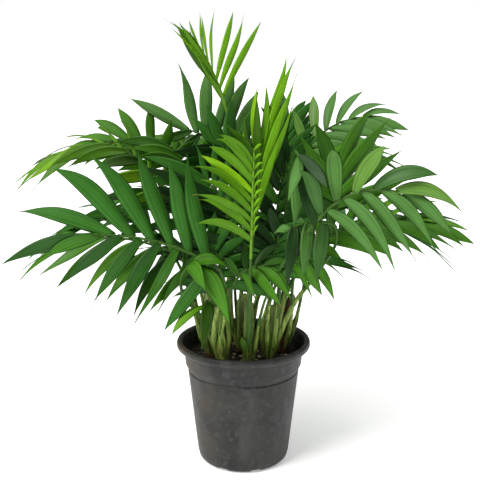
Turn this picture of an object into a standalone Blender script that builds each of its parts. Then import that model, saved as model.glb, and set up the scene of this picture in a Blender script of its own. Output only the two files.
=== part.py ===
"""Parlour palm in a round nursery pot: pot, soil, short canes, and one node for each frond.

Metres, +Z up. The origin is the middle of the pot's flat underside, and the plant's front faces -Y.
"""

import math
import random
from dataclasses import dataclass, replace

import bmesh
import bpy
from mathutils import Matrix, Vector
from mathutils.bvhtree import BVHTree

# The pot, from its outside: the rolled lip, the collar under it, the tapered body and the rounded foot.
POT_HEIGHT = 0.140
LIP_RADIUS = 0.075
LIP_DEPTH = 0.0088
LIP_INNER_RADIUS = 0.0685
COLLAR_RADIUS = 0.0668
COLLAR_FOOT_RADIUS = 0.0652
COLLAR_FOOT = 0.1130
STEP_RADIUS = 0.0625
STEP_HEIGHT = 0.1062
HEEL_RADIUS = 0.0519
HEEL_HEIGHT = 0.0090
FOOT_RADIUS = 0.0470
WALL = 0.0020
FLOOR = 0.0050
POT_STEPS = 36
DRAIN_COUNT = 8
DRAIN_TURN = -5.0
DRAIN_WIDTH = 0.0130
DRAIN_HEIGHT = 0.0036
DRAIN_DEPTH = 0.0050

# The soil fills the pot up to a little under the lip.
GAP = 0.0003
SOIL_TOP = 0.1220

UP = Vector((0, 0, 1))


@dataclass(frozen=True)
class Cane:
    """A short stem: where it leaves the soil, how far it rises and leans, and its radius at the foot."""

    name: str
    foot: tuple
    rise: float
    lean: tuple = (0.0, 0.0)
    radius: float = 0.0060


@dataclass(frozen=True)
class Frond:
    """One leaf. Its rib runs from a cane, through the collar where its leaflets begin, to the tip.

    arch is how far the rib bows up between collar and tip, and face the way its upper side looks.
    spread is the angle between leaflet and rib in degrees, at the collar and at the tip; lift folds
    the two sides up towards the face; droop and sweep bend a leaflet down and towards the frond's tip.
    sides scales the leaflets of either side, and ends those at the collar and at the tip; they are
    longest at fullest, a share of the rib. skew turns one side in and the other out, and hold keeps
    the collar's angle for longer along the rib.
    """

    name: str
    cane: str
    collar: tuple
    tip: tuple
    arch: float = 0.015
    face: tuple = (0.0, -0.6, 0.8)
    pairs: int = 8
    leaf: float = 0.090
    width: float = 0.0135
    spread: tuple = (62.0, 24.0)
    lift: float = 18.0
    droop: float = 0.55
    sweep: float = 0.25
    sides: tuple = (1.0, 1.0)
    ends: tuple = (0.80, 0.70)
    skew: float = 0.0
    hold: float = 1.3
    fullest: float = 0.35
    tone: str = "deep"


CANES = (
    Cane("cane_west", (-0.036, -0.006), 0.056, (-0.007, -0.002), 0.0055),
    Cane("cane_south_west", (-0.023, -0.030), 0.064, (-0.004, -0.002), 0.0066),
    Cane("cane_south", (0.006, -0.034), 0.070, (0.000, -0.002), 0.0068),
    Cane("cane_south_east", (0.028, -0.022), 0.062, (0.003, -0.003), 0.0056),
    Cane("cane_east", (0.044, 0.006), 0.066, (0.010, 0.000), 0.0062),
    Cane("cane_north_east", (0.034, 0.034), 0.050, (0.005, 0.005), 0.0058),
    Cane("cane_north", (0.002, 0.047), 0.052, (0.000, 0.005), 0.0060),
    Cane("cane_north_west", (-0.030, 0.034), 0.050, (-0.005, 0.005), 0.0058),
    Cane("cane_centre", (-0.002, 0.008), 0.060, (-0.001, 0.001), 0.0060),
)

TO_VIEWER = (0.0, -1.0, 0.25)

FRONDS = (
    # In front, from the left to the right.
    Frond("frond_left_front", "cane_south_west", (-0.031, -0.085, 0.248), (-0.146, -0.098, 0.281), 0.009,
          (0.0, -1.0, 0.2), 7, 0.126, 0.0180, (66, 0), 8, 0.36, 0.02, (1.04, 0.60), (0.95, 0.66), 15, 3.2),
    Frond("frond_left_low", "cane_west", (-0.051, -0.045, 0.235), (-0.172, -0.040, 0.262), 0.014,
          (0.0, -0.5, 0.9), 7, 0.078, 0.0125, (66, 2), 8, 0.75, 0.15, (1, 1), (0.8, 0.85), 10, 1.9,
          tone="mid"),
    Frond("frond_left_fold", "cane_south_west", (-0.059, -0.092, 0.243), (-0.045, -0.096, 0.250), 0.003,
          (0.0, -0.3, 1.0), 2, 0.058, 0.0205, (48, 30), 6, 1.25, 0.0, (0.9, 1.0), (1, 1), tone="mid"),
    Frond("frond_foot", "cane_south_west", (-0.022, -0.064, 0.194), (-0.040, -0.090, 0.207), 0.006,
          (0.2, -0.5, 0.9), 2, 0.054, 0.0140, (60, 20), 5, 1.1, 0.1, tone="bright"),
    Frond("frond_low_centre", "cane_south_west", (-0.004, -0.062, 0.230), (0.024, -0.068, 0.242), 0.004,
          (0.0, -0.8, 0.6), 4, 0.046, 0.0115, (72, 24), 10, 0.70, 0.1, tone="mid"),
    Frond("frond_spear", "cane_south", (0.008, -0.082, 0.272), (0.0105, -0.076, 0.361), 0.000,
          TO_VIEWER, 10, 0.088, 0.0092, (31, 34), 12, 0.66, 0.0, (0.26, 1.0), (0.95, 0.60), 14, 1.0,
          tone="lime"),
    Frond("frond_right_front", "cane_south", (0.076, -0.102, 0.302), (0.150, -0.120, 0.327), 0.012,
          (0.05, -1.0, 0.3), 5, 0.080, 0.0165, (68, 9), 8, 0.68, 0.10, (0.85, 1), (0.95, 0.70), -6, 1.8,
          tone="grey"),
    Frond("frond_right_drops", "cane_south_east", (0.070, -0.094, 0.292), (0.036, -0.098, 0.287), 0.003,
          (0.0, -0.9, 0.5), 3, 0.040, 0.0165, (80, 46), 4, 1.2, 0.0, (0.5, 1.0), (1.0, 0.9), tone="grey"),
    Frond("frond_heart_fold", "cane_south_east", (0.054, -0.066, 0.356), (0.055, -0.076, 0.347), 0.002,
          (0.0, -1.0, 0.2), 2, 0.068, 0.0145, (12, 4), 4, 0.35, 0.0, (0.9, 1.0), (1.0, 0.9), tone="grey"),
    Frond("frond_right_foot", "cane_south_east", (0.038, -0.070, 0.240), (0.060, -0.086, 0.250), 0.004,
          (0.0, -0.6, 0.8), 3, 0.044, 0.0120, (62, 24), 6, 1.2, 0.2, tone="mid"),
    Frond("frond_right_low", "cane_east", (0.071, -0.050, 0.255), (0.174, -0.070, 0.290), 0.011,
          (0.0, -0.5, 0.9), 9, 0.072, 0.0125, (62, 10), 12, 0.50, 0.15, (1, 1), (0.45, 0.8), 16, 1.7,
          tone="mid"),
    Frond("frond_right_fork", "cane_south_east", (0.097, -0.036, 0.294), (0.098, -0.034, 0.327), 0.000,
          TO_VIEWER, 4, 0.090, 0.0160, (60, 17), 8, 0.12, 0.1, (1.0, 0.8), (0.8, 0.95), tone="mid"),
    # Behind them, from the left to the right.
    Frond("frond_left_high", "cane_west", (-0.087, 0.020, 0.300), (-0.210, 0.020, 0.341), 0.034,
          (0.0, -0.3, 1.0), 8, 0.070, 0.0125, (58, 14), 4, 0.50, 0.2, (1, 1), (0.95, 0.62), 0, 1.8,
          tone="bright"),
    Frond("frond_left_back", "cane_north_west", (-0.085, 0.060, 0.312), (-0.162, 0.072, 0.352), 0.020,
          (0.0, -0.9, 0.6), 7, 0.066, 0.0125, (58, 16), 10, 0.35, 0.1, (1, 0.8), (1.0, 0.75), tone="mid"),
    Frond("frond_left_inner", "cane_centre", (-0.012, -0.036, 0.258), (-0.036, -0.030, 0.322), 0.006,
          (0.4, -1.0, 0.3), 7, 0.108, 0.0135, (62, 24), 10, 0.30, 0.2, (0.6, 1.0)),
    Frond("frond_centre_dark", "cane_centre", (-0.004, 0.000, 0.330), (-0.026, -0.004, 0.356), 0.003,
          TO_VIEWER, 5, 0.070, 0.0145, (64, 22), 8, 0.15, 0.1),
    Frond("frond_heart", "cane_centre", (0.034, -0.024, 0.255), (0.046, -0.014, 0.345), 0.004,
          TO_VIEWER, 7, 0.070, 0.0140, (56, 22), 14, 0.30, 0.2),
    Frond("frond_shade_left", "cane_south_west", (-0.018, -0.048, 0.212), (-0.027, -0.052, 0.262), 0.003,
          TO_VIEWER, 6, 0.064, 0.0135, (84, 26), 10, 0.45, 0.1),
    Frond("frond_shade_right", "cane_south_east", (0.030, -0.044, 0.222), (0.037, -0.050, 0.270), 0.003,
          TO_VIEWER, 6, 0.062, 0.0135, (84, 26), 10, 0.45, 0.1),
    Frond("frond_top_lime", "cane_north", (-0.022, 0.050, 0.402), (-0.048, 0.050, 0.460), 0.002,
          TO_VIEWER, 7, 0.110, 0.0076, (29, 12), 8, 0.10, 0.0, (0.94, 1.0), (1.0, 0.32), -13, 1.2,
          fullest=-0.3, tone="lime"),
    Frond("frond_top_dark", "cane_north_west", (-0.013, 0.078, 0.341), (-0.063, 0.078, 0.366), 0.003,
          TO_VIEWER, 6, 0.088, 0.0140, (80, 18), 4, 0.05, 0.0, (1.0, 0.6), (0.95, 0.94), 0, 3.8,
          tone="grey"),
    Frond("frond_top_spike", "cane_centre", (0.011, -0.058, 0.288), (0.019, -0.050, 0.356), 0.001,
          TO_VIEWER, 6, 0.112, 0.0092, (17, 4), 6, 0.05, 0.0, (1, 0.76), (0.7, 0.95), 0, tone="lime"),
    Frond("frond_top_right", "cane_north", (0.047, 0.080, 0.318), (0.052, 0.090, 0.370), 0.004,
          TO_VIEWER, 5, 0.064, 0.0115, (42, 18), 10, 0.15, 0.1),
    Frond("frond_right_high", "cane_north_east", (0.065, 0.056, 0.332), (0.142, 0.070, 0.382), 0.014,
          (0.0, -0.7, 0.7), 7, 0.066, 0.0130, (60, 20), 10, 0.45, 0.2, tone="grey"),
)


@dataclass(frozen=True)
class Ring:
    """A row of fronds round the back: how many, the first and last bearing in degrees, reach and height."""

    name: str
    count: int
    bearings: tuple
    collar_reach: float
    collar_height: float
    tip_reach: float
    tip_height: float
    arch: float
    pairs: int
    leaf: float
    tone: str


# Bearings run from the plant's right (0) by the back (90) to its left (180).
RINGS = (
    Ring("frond_back_low", 5, (8, 172), 0.090, 0.245, 0.178, 0.264, 0.018, 8, 0.082, "deep"),
    Ring("frond_back_high", 4, (32, 148), 0.074, 0.310, 0.142, 0.345, 0.015, 8, 0.080, "mid"),
    Ring("frond_inner", 6, (6, 186), 0.046, 0.214, 0.086, 0.240, 0.010, 6, 0.064, "deep"),
)
BEARING_JITTER = 5.0

# How a leaf is turned and shortened, in turn, until it stands clear of every other frond.
TRIES = ((0, 0, 1.0), (8, 0, 1.0), (-8, 0, 1.0), (0, 7, 1.0), (0, -7, 1.0), (15, 5, 0.95), (-15, 5, 0.95),
         (15, -5, 0.95), (-15, -5, 0.95), (24, 0, 0.9), (-24, 0, 0.9), (0, 0, 0.82), (12, 9, 0.82),
         (-12, -9, 0.82), (32, 0, 0.85), (-32, 0, 0.85), (0, 0, 0.66), (20, 8, 0.66), (-20, -8, 0.66))
CLEARANCE = 0.0004
SPINE_CLEARANCE = 0.0010
TURNS = (0, 6, -6, 12, -12, 18, -18)
BULGES = ((0, 0), (0, 0.006), (0, -0.006), (0.006, 0), (-0.006, 0), (0, 0.012), (0, -0.012), (0.012, 0),
          (0.010, 0.010), (0.010, -0.010), (-0.008, 0.008), (-0.008, -0.008), (0, 0.018), (0, -0.018),
          (0.018, 0), (0.015, 0.015), (0.015, -0.015), (0, 0.026), (0, -0.026))
ROOT_SHARE = 0.06

PETIOLE_STEPS = 5
PETIOLE_FOOT_RADIUS = 0.0023
COLLAR_RIB_RADIUS = 0.0017
TIP_RIB_RADIUS = 0.0011
LONG_LEAF = 0.078
LONG_STATIONS = ((0.0, 0.10), (0.36, 1.0), (0.70, 0.72))
SHORT_STATIONS = ((0.0, 0.10), (0.45, 1.0))
LEAF_THICKNESS = 0.0012
SEAT_ROUNDS = 4
# Turn of each blade about its own length, in degrees, by which neighbours lie like slats.
SLAT = 24.0


@dataclass
class Leaf:
    """One leaflet: a blade that leaves its root along heading and bends steadily by bend."""

    root: Vector
    heading: Vector
    bend: Vector
    across: Vector
    length: float
    width: float
    twist: float
    clear: bool = True


def quadratic(start, middle, end, t):
    """Point on the curve that leaves start towards middle and reaches end."""
    return start * (1 - t) ** 2 + middle * (2 * t * (1 - t)) + end * t * t


def hermite(start, leaving, end, arriving, t):
    """Point on the smooth curve between two points with these directions."""
    a, b = 2 * t**3 - 3 * t**2 + 1, t**3 - 2 * t**2 + t
    c, d = -2 * t**3 + 3 * t**2, t**3 - t**2
    return start * a + leaving * b + end * c + arriving * d


def square_to(vector, axis):
    """The part of vector that is square to axis, at unit length."""
    return (vector - axis * vector.dot(axis)).normalized()


def polar(bearing, reach, height):
    """Point at a bearing in degrees, a distance from the pot's axis and a height."""
    angle = math.radians(bearing)
    return Vector((reach * math.cos(angle), reach * math.sin(angle), height))


def back_fronds():
    """The rows of fronds round the back, each on the cane that stands nearest to it."""
    fronds = []
    for ring in RINGS:
        rule = random.Random(ring.name)
        first, last = ring.bearings
        for index in range(ring.count):
            bearing = first + (last - first) * index / (ring.count - 1)
            bearing += rule.uniform(-BEARING_JITTER, BEARING_JITTER)
            lift = rule.uniform(-0.012, 0.012)
            collar = polar(bearing, ring.collar_reach, ring.collar_height + lift)
            tip = polar(bearing + rule.uniform(-8, 8), ring.tip_reach, ring.tip_height + lift)
            rear = [cane for cane in CANES if cane.foot[1] > -0.008]
            nearest = min(rear, key=lambda cane: (Vector(cane.foot) - collar.xy).length)
            fronds.append(Frond(f"{ring.name}_{index + 1}", nearest.name, tuple(collar), tuple(tip),
                                ring.arch, (0.0, 0.0, 1.0), ring.pairs, ring.leaf, 0.0135, (66, 24),
                                12, 0.55, 0.3, tone=ring.tone))
    return fronds


def all_fronds():
    """Every frond, the ones nearest the viewer first."""
    return list(FRONDS) + back_fronds()


def cane_point(cane, share):
    """Point on a cane's axis, share of the way up it."""
    foot = Vector((*cane.foot, SOIL_TOP + GAP))
    return foot + Vector((*cane.lean, cane.rise)) * share


def foot_bearings(cane, fronds):
    """Bearing, in radians, at which each frond of a cane leaves it, spread so that no two meet."""
    centre = cane_point(cane, 1.0)
    wanted = []
    for frond in fronds:
        towards = Vector(frond.collar) - centre
        wanted.append([math.atan2(towards.y, towards.x), frond.name])
    wanted.sort()
    apart = math.radians(min(52, 330 / len(wanted)))
    for _ in range(60):
        for index, this in enumerate(wanted):
            after = wanted[(index + 1) % len(wanted)]
            wrap = 2 * math.pi if index + 1 == len(wanted) else 0.0
            short = apart - (after[0] + wrap - this[0])
            if len(wanted) > 1 and short > 0:
                this[0] -= short / 2
                after[0] += short / 2
    return {name: bearing for bearing, name in wanted}


def rib_at(frond, t):
    """Point on the rib between collar (0) and tip (1), with its direction, face and side."""
    collar, tip = Vector(frond.collar), Vector(frond.tip)
    bow = square_to(UP, (tip - collar).normalized())
    middle = (collar + tip) / 2 + bow * (2 * frond.arch)
    along = ((middle - collar) * (1 - t) + (tip - middle) * t).normalized()
    face = square_to(Vector(frond.face), along)
    return quadratic(collar, middle, tip, t), along, face, along.cross(face)


def spine(frond, cane, bearing, bulge):
    """Points and radii from the frond's foot beside its cane to the rib's tip, bulged on the way."""
    out = Vector((math.cos(bearing), math.sin(bearing), 0))
    beside = cane.radius + PETIOLE_FOOT_RADIUS * 1.45 + GAP
    foot = cane_point(cane, 0.45) + out * beside
    collar, along, _, _ = rib_at(frond, 0)
    span = (collar - foot).length
    leaving = (Vector((*cane.lean, cane.rise)).normalized() + out * 0.12) * span
    aside = (collar - foot).normalized().cross(out).normalized()
    points, radii = [], []
    for step in range(PETIOLE_STEPS):
        t = step / (PETIOLE_STEPS - 0.5)
        bulged = (out * bulge[0] + aside * bulge[1]) * math.sin(math.pi * t) ** 2
        points.append(hermite(foot, leaving, collar, along * span, t) + bulged)
        radii.append(PETIOLE_FOOT_RADIUS + (COLLAR_RIB_RADIUS - PETIOLE_FOOT_RADIUS) * t)
    gaps = frond.pairs - 0.7
    for t in [-0.04] + [(step + 0.65) / gaps for step in range(frond.pairs - 1)]:
        end = min(t, 1.0)
        points.append(rib_at(frond, end)[0])
        radii.append(COLLAR_RIB_RADIUS + (TIP_RIB_RADIUS - COLLAR_RIB_RADIUS) * end)
    point, along, _, _ = rib_at(frond, 1.0)
    points.append(point + along * 0.002)
    radii.append(TIP_RIB_RADIUS)
    return points, radii


def turned(frond, degrees):
    """The frond turned about the pot's axis."""
    turn = Matrix.Rotation(math.radians(degrees), 3, "Z")
    values = {key: tuple(turn @ Vector(getattr(frond, key))) for key in ("collar", "tip", "face")}
    return replace(frond, **values)


def clear_spine(frond, cane, bearing, tree):
    """The frond, turned if need be, and its least bulged spine that stands clear of the tree."""
    for degrees in TURNS:
        moved = turned(frond, degrees)
        for bulge in BULGES:
            line = spine(moved, cane, bearing, bulge)
            if not BVHTree.FromPolygons(*tube_solid(*line, SPINE_CLEARANCE)).overlap(tree):
                return moved, line
    print(f"{frond.name}: no clear way for its spine")
    return frond, spine(frond, cane, bearing, (0.0, 0.0))


def leaf_at(frond, pair, side, rule):
    """The values of one leaflet before it is turned, from the frond's row and a seeded rule."""
    last = frond.pairs - 1
    t = min(1.0, (pair + (0.3 if side > 0 else 0.0)) / (last + 0.3))
    base_angle, tip_angle = frond.spread
    shortfall = (1 - frond.ends[0]) * ((frond.fullest - t) / frond.fullest) ** 2
    if t > frond.fullest:
        shortfall = (1 - frond.ends[1]) * ((t - frond.fullest) / (1 - frond.fullest)) ** 1.6
    size = (1 - shortfall) * frond.sides[0 if side > 0 else 1]
    return {
        "t": t,
        "side": side,
        "angle": base_angle + (tip_angle - base_angle) * t**frond.hold - frond.skew * side * (1 - t)
        + rule.uniform(-4, 4),
        "lift": frond.lift + rule.uniform(-6, 6),
        "length": frond.leaf * size * rule.uniform(0.92, 1.06),
        "width": frond.width * (0.45 + 0.55 * size) * rule.uniform(0.92, 1.08),
        "droop": frond.droop * rule.uniform(0.8, 1.2),
        "sweep": frond.sweep * rule.uniform(0.7, 1.3),
        "twist": math.radians(rule.uniform(-16, 16)),
    }


def make_leaf(frond, values, turn, swing, share):
    """The leaflet that these values give, lifted by turn and swung by swing degrees."""
    root, along, face, side = rib_at(frond, values["t"])
    angle = math.radians(values["angle"] + swing)
    lift = math.radians(values["lift"] + turn)
    outward = side * (values["side"] * math.cos(lift)) + face * math.sin(lift)
    heading = along * math.cos(angle) + outward * math.sin(angle)
    bend = along * values["sweep"] - UP * values["droop"]
    flat = square_to(along, heading)
    slat = math.radians(SLAT)
    across = flat * math.cos(slat) + face * math.sin(slat)
    return Leaf(root, heading, bend, across, values["length"] * share, values["width"], values["twist"])


def blade_at(leaf, u):
    """Middle of the blade, u of the way along it, with its direction, width and upper side."""
    middle = leaf.root + (leaf.heading * u + leaf.bend * (u * u / 2)) * leaf.length
    along = (leaf.heading + leaf.bend * u).normalized()
    across = square_to(leaf.across, along)
    lower = along.cross(across)
    turned = across * math.cos(leaf.twist * u) + lower * math.sin(leaf.twist * u)
    return middle, along, turned, turned.cross(along)


def leaf_solid(leaf, margin=0.0, start=0.0):
    """Points and faces of a leaflet as a closed three-sided blade, thickened by a margin."""
    points = []
    for u, share in LONG_STATIONS if leaf.length > LONG_LEAF else SHORT_STATIONS:
        if u < start:
            u, share = start, share + 2 * start
        middle, _, across, normal = blade_at(leaf, u)
        half = leaf.width * share / 2 + margin
        points.append(middle + across * half + normal * margin)
        points.append(middle - across * half + normal * margin)
        points.append(middle - normal * (LEAF_THICKNESS * (0.35 + 0.65 * share) + margin))
    middle, along, _, _ = blade_at(leaf, 1.0)
    points.append(middle + along * margin)
    tip = len(points) - 1
    faces = [(0, 1, 2)]
    for ring in range(0, tip - 3, 3):
        for edge in range(3):
            a, b = ring + edge, ring + (edge + 1) % 3
            faces += [(a, a + 3, b + 3), (a, b + 3, b)]
    for edge in range(3):
        faces.append((tip - 3 + edge, tip, tip - 3 + (edge + 1) % 3))
    return points, faces


def tube_solid(points, radii, margin=0.0):
    """Points and faces of a square tube round a line, used only to keep leaves clear of it."""
    ring_points = []
    for index, (point, radius) in enumerate(zip(points, radii)):
        before, after = points[max(index - 1, 0)], points[min(index + 1, len(points) - 1)]
        along = (after - before).normalized()
        one = square_to(Vector((0.31, 0.87, 0.38)), along)
        two = along.cross(one)
        reach = (radius + margin) * 1.25
        ring_points += [point + one * reach, point + two * reach, point - one * reach, point - two * reach]
    faces = []
    for ring in range(0, len(ring_points) - 4, 4):
        for edge in range(4):
            a, b = ring + edge, ring + (edge + 1) % 4
            faces.append((a, b, b + 4, a + 4))
    return ring_points, faces


def gathered(solids):
    """Many solids as one list of points and one of faces."""
    points, faces = [], []
    for solid_points, solid_faces in solids:
        start = len(points)
        points += solid_points
        faces += [tuple(start + corner for corner in face) for face in solid_faces]
    return points, faces


def cane_guard(cane):
    """A plain tube round a cane."""
    return tube_solid([cane_point(cane, 0.0), cane_point(cane, 1.0)], [cane.radius * 1.1] * 2)


def lip_guard():
    """The soil's top and the pot's lip as bare surfaces that leaves keep clear of."""
    points, faces = [], []
    soil, rim = SOIL_TOP + 0.001, POT_HEIGHT + 0.001
    for reach, height in ((0.0, soil), (LIP_INNER_RADIUS, soil), (LIP_INNER_RADIUS - 0.001, rim),
                          (LIP_RADIUS + 0.001, rim), (LIP_RADIUS + 0.001, 0.0)):
        points += [polar(15 * step, reach, height) for step in range(24)]
    for ring in range(4):
        for step in range(24):
            a, b = ring * 24 + step, ring * 24 + (step + 1) % 24
            faces.append((a, b, b + 24, a + 24))
    return points, faces


def clear_leaf(frond, values, tree, own):
    """The leaflet in the first of the tries that stands clear of the tree and of its own frond."""
    past_root = [leaf_solid(leaf, 0.0, ROOT_SHARE) for leaf in own[-6:] if leaf.clear]
    beside = BVHTree.FromPolygons(*gathered(past_root)) if past_root else None
    second = None
    for turn, swing, share in TRIES:
        leaf = make_leaf(frond, values, turn, swing, share)
        if BVHTree.FromPolygons(*leaf_solid(leaf, CLEARANCE)).overlap(tree):
            continue
        second = second or leaf
        bare = BVHTree.FromPolygons(*leaf_solid(leaf, CLEARANCE / 2, ROOT_SHARE))
        if not beside or not bare.overlap(beside):
            return leaf
    if second is None:
        second = make_leaf(frond, values, 0, 0, 0.9)
        second.clear = False
    return second


def plan_plant():
    """Spines and leaflets of every frond, each leaflet turned until it is clear of the rest."""
    fronds = all_fronds()
    canes = {cane.name: cane for cane in CANES}
    bearings = {}
    for cane in CANES:
        own = [frond for frond in fronds if frond.cane == cane.name]
        if own:
            bearings.update(foot_bearings(cane, own))
    still = [lip_guard()]
    spines = {}
    for index, frond in enumerate(fronds):
        own = canes[frond.cane]
        others = [cane_guard(cane) for cane in CANES if cane is not own]
        lines = [tube_solid(*line) for line in spines.values()]
        tree = BVHTree.FromPolygons(*gathered(still + others + lines))
        fronds[index], spines[frond.name] = clear_spine(frond, own, bearings[frond.name], tree)
    still += [cane_guard(cane) for cane in CANES]
    placed = []
    leaves = {}
    for frond in fronds:
        others = [tube_solid(*spines[other.name]) for other in fronds if other is not frond]
        tree = BVHTree.FromPolygons(*gathered(still + others + placed))
        rule = random.Random(frond.name)
        own = []
        for pair in range(frond.pairs):
            for side in (1, -1):
                own.append(clear_leaf(frond, leaf_at(frond, pair, side, rule), tree, own))
        leaves[frond.name] = own
        placed += [leaf_solid(leaf, CLEARANCE / 2) for leaf in own if leaf.clear]
    return fronds, spines, leaves


def start_clean():
    """Empty the scene of whatever it starts with."""
    for item in list(bpy.data.objects):
        bpy.data.objects.remove(item, do_unlink=True)


def new_collection(name):
    """A collection linked to the scene."""
    collection = bpy.data.collections.new(name)
    bpy.context.scene.collection.children.link(collection)
    return collection


def paint(item, colour, roughness):
    """Give an object its own material."""
    material = bpy.data.materials.new(item.name)
    material.use_nodes = True
    shader = material.node_tree.nodes["Principled BSDF"]
    shader.inputs["Base Color"].default_value = (*colour, 1.0)
    shader.inputs["Roughness"].default_value = roughness
    item.data.materials.clear()
    item.data.materials.append(material)


def object_from(name, points, faces, collection):
    """An object from points and faces."""
    mesh = bpy.data.meshes.new(name)
    mesh.from_pydata([tuple(point) for point in points], [], faces)
    mesh.update()
    item = bpy.data.objects.new(name, mesh)
    collection.objects.link(item)
    return item


def applied(item):
    """Replace an object's mesh by the mesh its modifiers give."""
    graph = bpy.context.evaluated_depsgraph_get()
    mesh = bpy.data.meshes.new_from_object(item.evaluated_get(graph))
    old = item.data
    item.modifiers.clear()
    item.data = mesh
    if old.users == 0:
        bpy.data.meshes.remove(old)
    return item


def turned_solid(name, profile, collection):
    """A solid of revolution from a profile of radius and height, outer side from top to bottom."""
    points = [(radius, 0.0, height) for radius, height in profile]
    item = object_from(name, points, [], collection)
    edges = bmesh.new()
    edges.from_mesh(item.data)
    edges.verts.ensure_lookup_table()
    for index in range(len(points) - 1):
        edges.edges.new((edges.verts[index], edges.verts[index + 1]))
    edges.to_mesh(item.data)
    edges.free()
    screw = item.modifiers.new("turn", "SCREW")
    screw.axis = "Z"
    screw.steps = POT_STEPS
    screw.render_steps = POT_STEPS
    screw.use_merge_vertices = True
    screw.merge_threshold = 0.0001
    screw.use_smooth_shade = False
    return applied(item)


def inner_wall(inset):
    """Radius and height of the pot's inside from its floor to its lip, moved in by inset."""
    return [
        (FOOT_RADIUS - inset, FLOOR + inset),
        (HEEL_RADIUS - WALL - inset, HEEL_HEIGHT + inset),
        (STEP_RADIUS - WALL - inset, STEP_HEIGHT),
        (COLLAR_FOOT_RADIUS - WALL - inset, COLLAR_FOOT),
    ]


def build_pot(collection, cutters):
    """The pot: one turned wall with a rolled lip, and drain notches cut from its foot."""
    lip_foot = POT_HEIGHT - LIP_DEPTH
    profile = [(0.0, FLOOR)] + inner_wall(0.0)
    profile += [
        (COLLAR_RADIUS - WALL, lip_foot - 0.002),
        (LIP_INNER_RADIUS - 0.0012, POT_HEIGHT - 0.004),
        (LIP_INNER_RADIUS, POT_HEIGHT - 0.0012),
        (LIP_INNER_RADIUS + 0.0012, POT_HEIGHT),
        (LIP_RADIUS - 0.0022, POT_HEIGHT),
        (LIP_RADIUS - 0.0006, POT_HEIGHT - 0.0010),
        (LIP_RADIUS, POT_HEIGHT - 0.0030),
        (LIP_RADIUS, lip_foot + 0.0012),
        (LIP_RADIUS - 0.0014, lip_foot),
        (COLLAR_RADIUS + 0.0004, lip_foot - 0.0012),
        (COLLAR_RADIUS, lip_foot - 0.0026),
        (COLLAR_FOOT_RADIUS, COLLAR_FOOT),
        (STEP_RADIUS, STEP_HEIGHT),
        (HEEL_RADIUS, HEEL_HEIGHT),
        (HEEL_RADIUS - 0.0014, HEEL_HEIGHT / 3),
        (FOOT_RADIUS, 0.0),
        (0.0, 0.0),
    ]
    pot = turned_solid("pot", profile, collection)
    for index in range(DRAIN_COUNT):
        bearing = 360 * (index + 0.5) / DRAIN_COUNT + DRAIN_TURN
        place = polar(bearing, HEEL_RADIUS, DRAIN_HEIGHT / 2 - 0.001)
        bpy.ops.mesh.primitive_cube_add(size=1, location=place)
        cutter = bpy.context.object
        cutter.name = f"drain_cutter_{index + 1}"
        cutter.scale = (DRAIN_DEPTH * 2, DRAIN_WIDTH, DRAIN_HEIGHT + 0.002)
        cutter.rotation_euler = (0, 0, math.radians(bearing))
        for owner in list(cutter.users_collection):
            owner.objects.unlink(cutter)
        cutters.objects.link(cutter)
        cutter.hide_render = True
        cutter.display_type = "WIRE"
    cut = pot.modifiers.new("drains", "BOOLEAN")
    cut.operation = "DIFFERENCE"
    cut.operand_type = "COLLECTION"
    cut.collection = cutters
    cut.solver = "EXACT"
    applied(pot)
    paint(pot, (0.045, 0.048, 0.052), 0.5)


def build_soil(collection):
    """The soil that fills the pot, clear of its wall and floor."""
    rise = (SOIL_TOP - COLLAR_FOOT) * (COLLAR_RADIUS - COLLAR_FOOT_RADIUS) / 0.012
    outer = [(COLLAR_FOOT_RADIUS - WALL + rise - GAP * 1.2, SOIL_TOP)] + inner_wall(GAP * 1.2)[::-1]
    soil = turned_solid("soil", [(0.0, SOIL_TOP)] + outer + [(0.0, FLOOR + GAP * 1.2)], collection)
    paint(soil, (0.03, 0.022, 0.016), 0.9)


def tube(name, points, radii, resolution, collection):
    """A closed tube along a line, its radius changing from point to point."""
    curve = bpy.data.curves.new(name, "CURVE")
    curve.dimensions = "3D"
    curve.bevel_depth = 1.0
    curve.bevel_resolution = resolution
    curve.use_fill_caps = True
    line = curve.splines.new("POLY")
    line.points.add(len(points) - 1)
    for spot, point, radius in zip(line.points, points, radii):
        spot.co = (*point, 1.0)
        spot.radius = radius
    source = bpy.data.objects.new(name + "_line", curve)
    collection.objects.link(source)
    graph = bpy.context.evaluated_depsgraph_get()
    mesh = bpy.data.meshes.new_from_object(source.evaluated_get(graph))
    item = bpy.data.objects.new(name, mesh)
    item.matrix_world = source.matrix_world.copy()
    collection.objects.link(item)
    bpy.data.objects.remove(source, do_unlink=True)
    bpy.data.curves.remove(curve)
    weld(mesh)
    return item


def weld(mesh):
    """Weld a mesh's seams and turn its faces out."""
    body = bmesh.new()
    body.from_mesh(mesh)
    bmesh.ops.remove_doubles(body, verts=body.verts, dist=0.000002)
    bmesh.ops.recalc_face_normals(body, faces=body.faces)
    body.to_mesh(mesh)
    body.free()


def build_cane(cane, collection):
    """A short cane, flared at its foot and cut flat just above the soil."""
    shares = (0.0, 0.12, 0.30, 0.70, 0.92, 1.0)
    swell = (1.22, 1.06, 1.0, 0.93, 0.80, 0.45)
    points = [cane_point(cane, share) for share in shares]
    points[1].xy = points[0].xy
    item = tube(cane.name, points, [cane.radius * size for size in swell], 1, collection)
    paint(item, (0.30, 0.34, 0.10), 0.6)


def surface_of(item):
    """Points along an object's edges, and its faces as a tree."""
    corners = [item.matrix_world @ corner.co for corner in item.data.vertices]
    spread = list(corners)
    for edge in item.data.edges:
        start, end = (corners[index] for index in edge.vertices)
        spread += [start.lerp(end, step / 6) for step in range(1, 6)]
    return spread, BVHTree.FromPolygons(corners, [tuple(face.vertices) for face in item.data.polygons])


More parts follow.
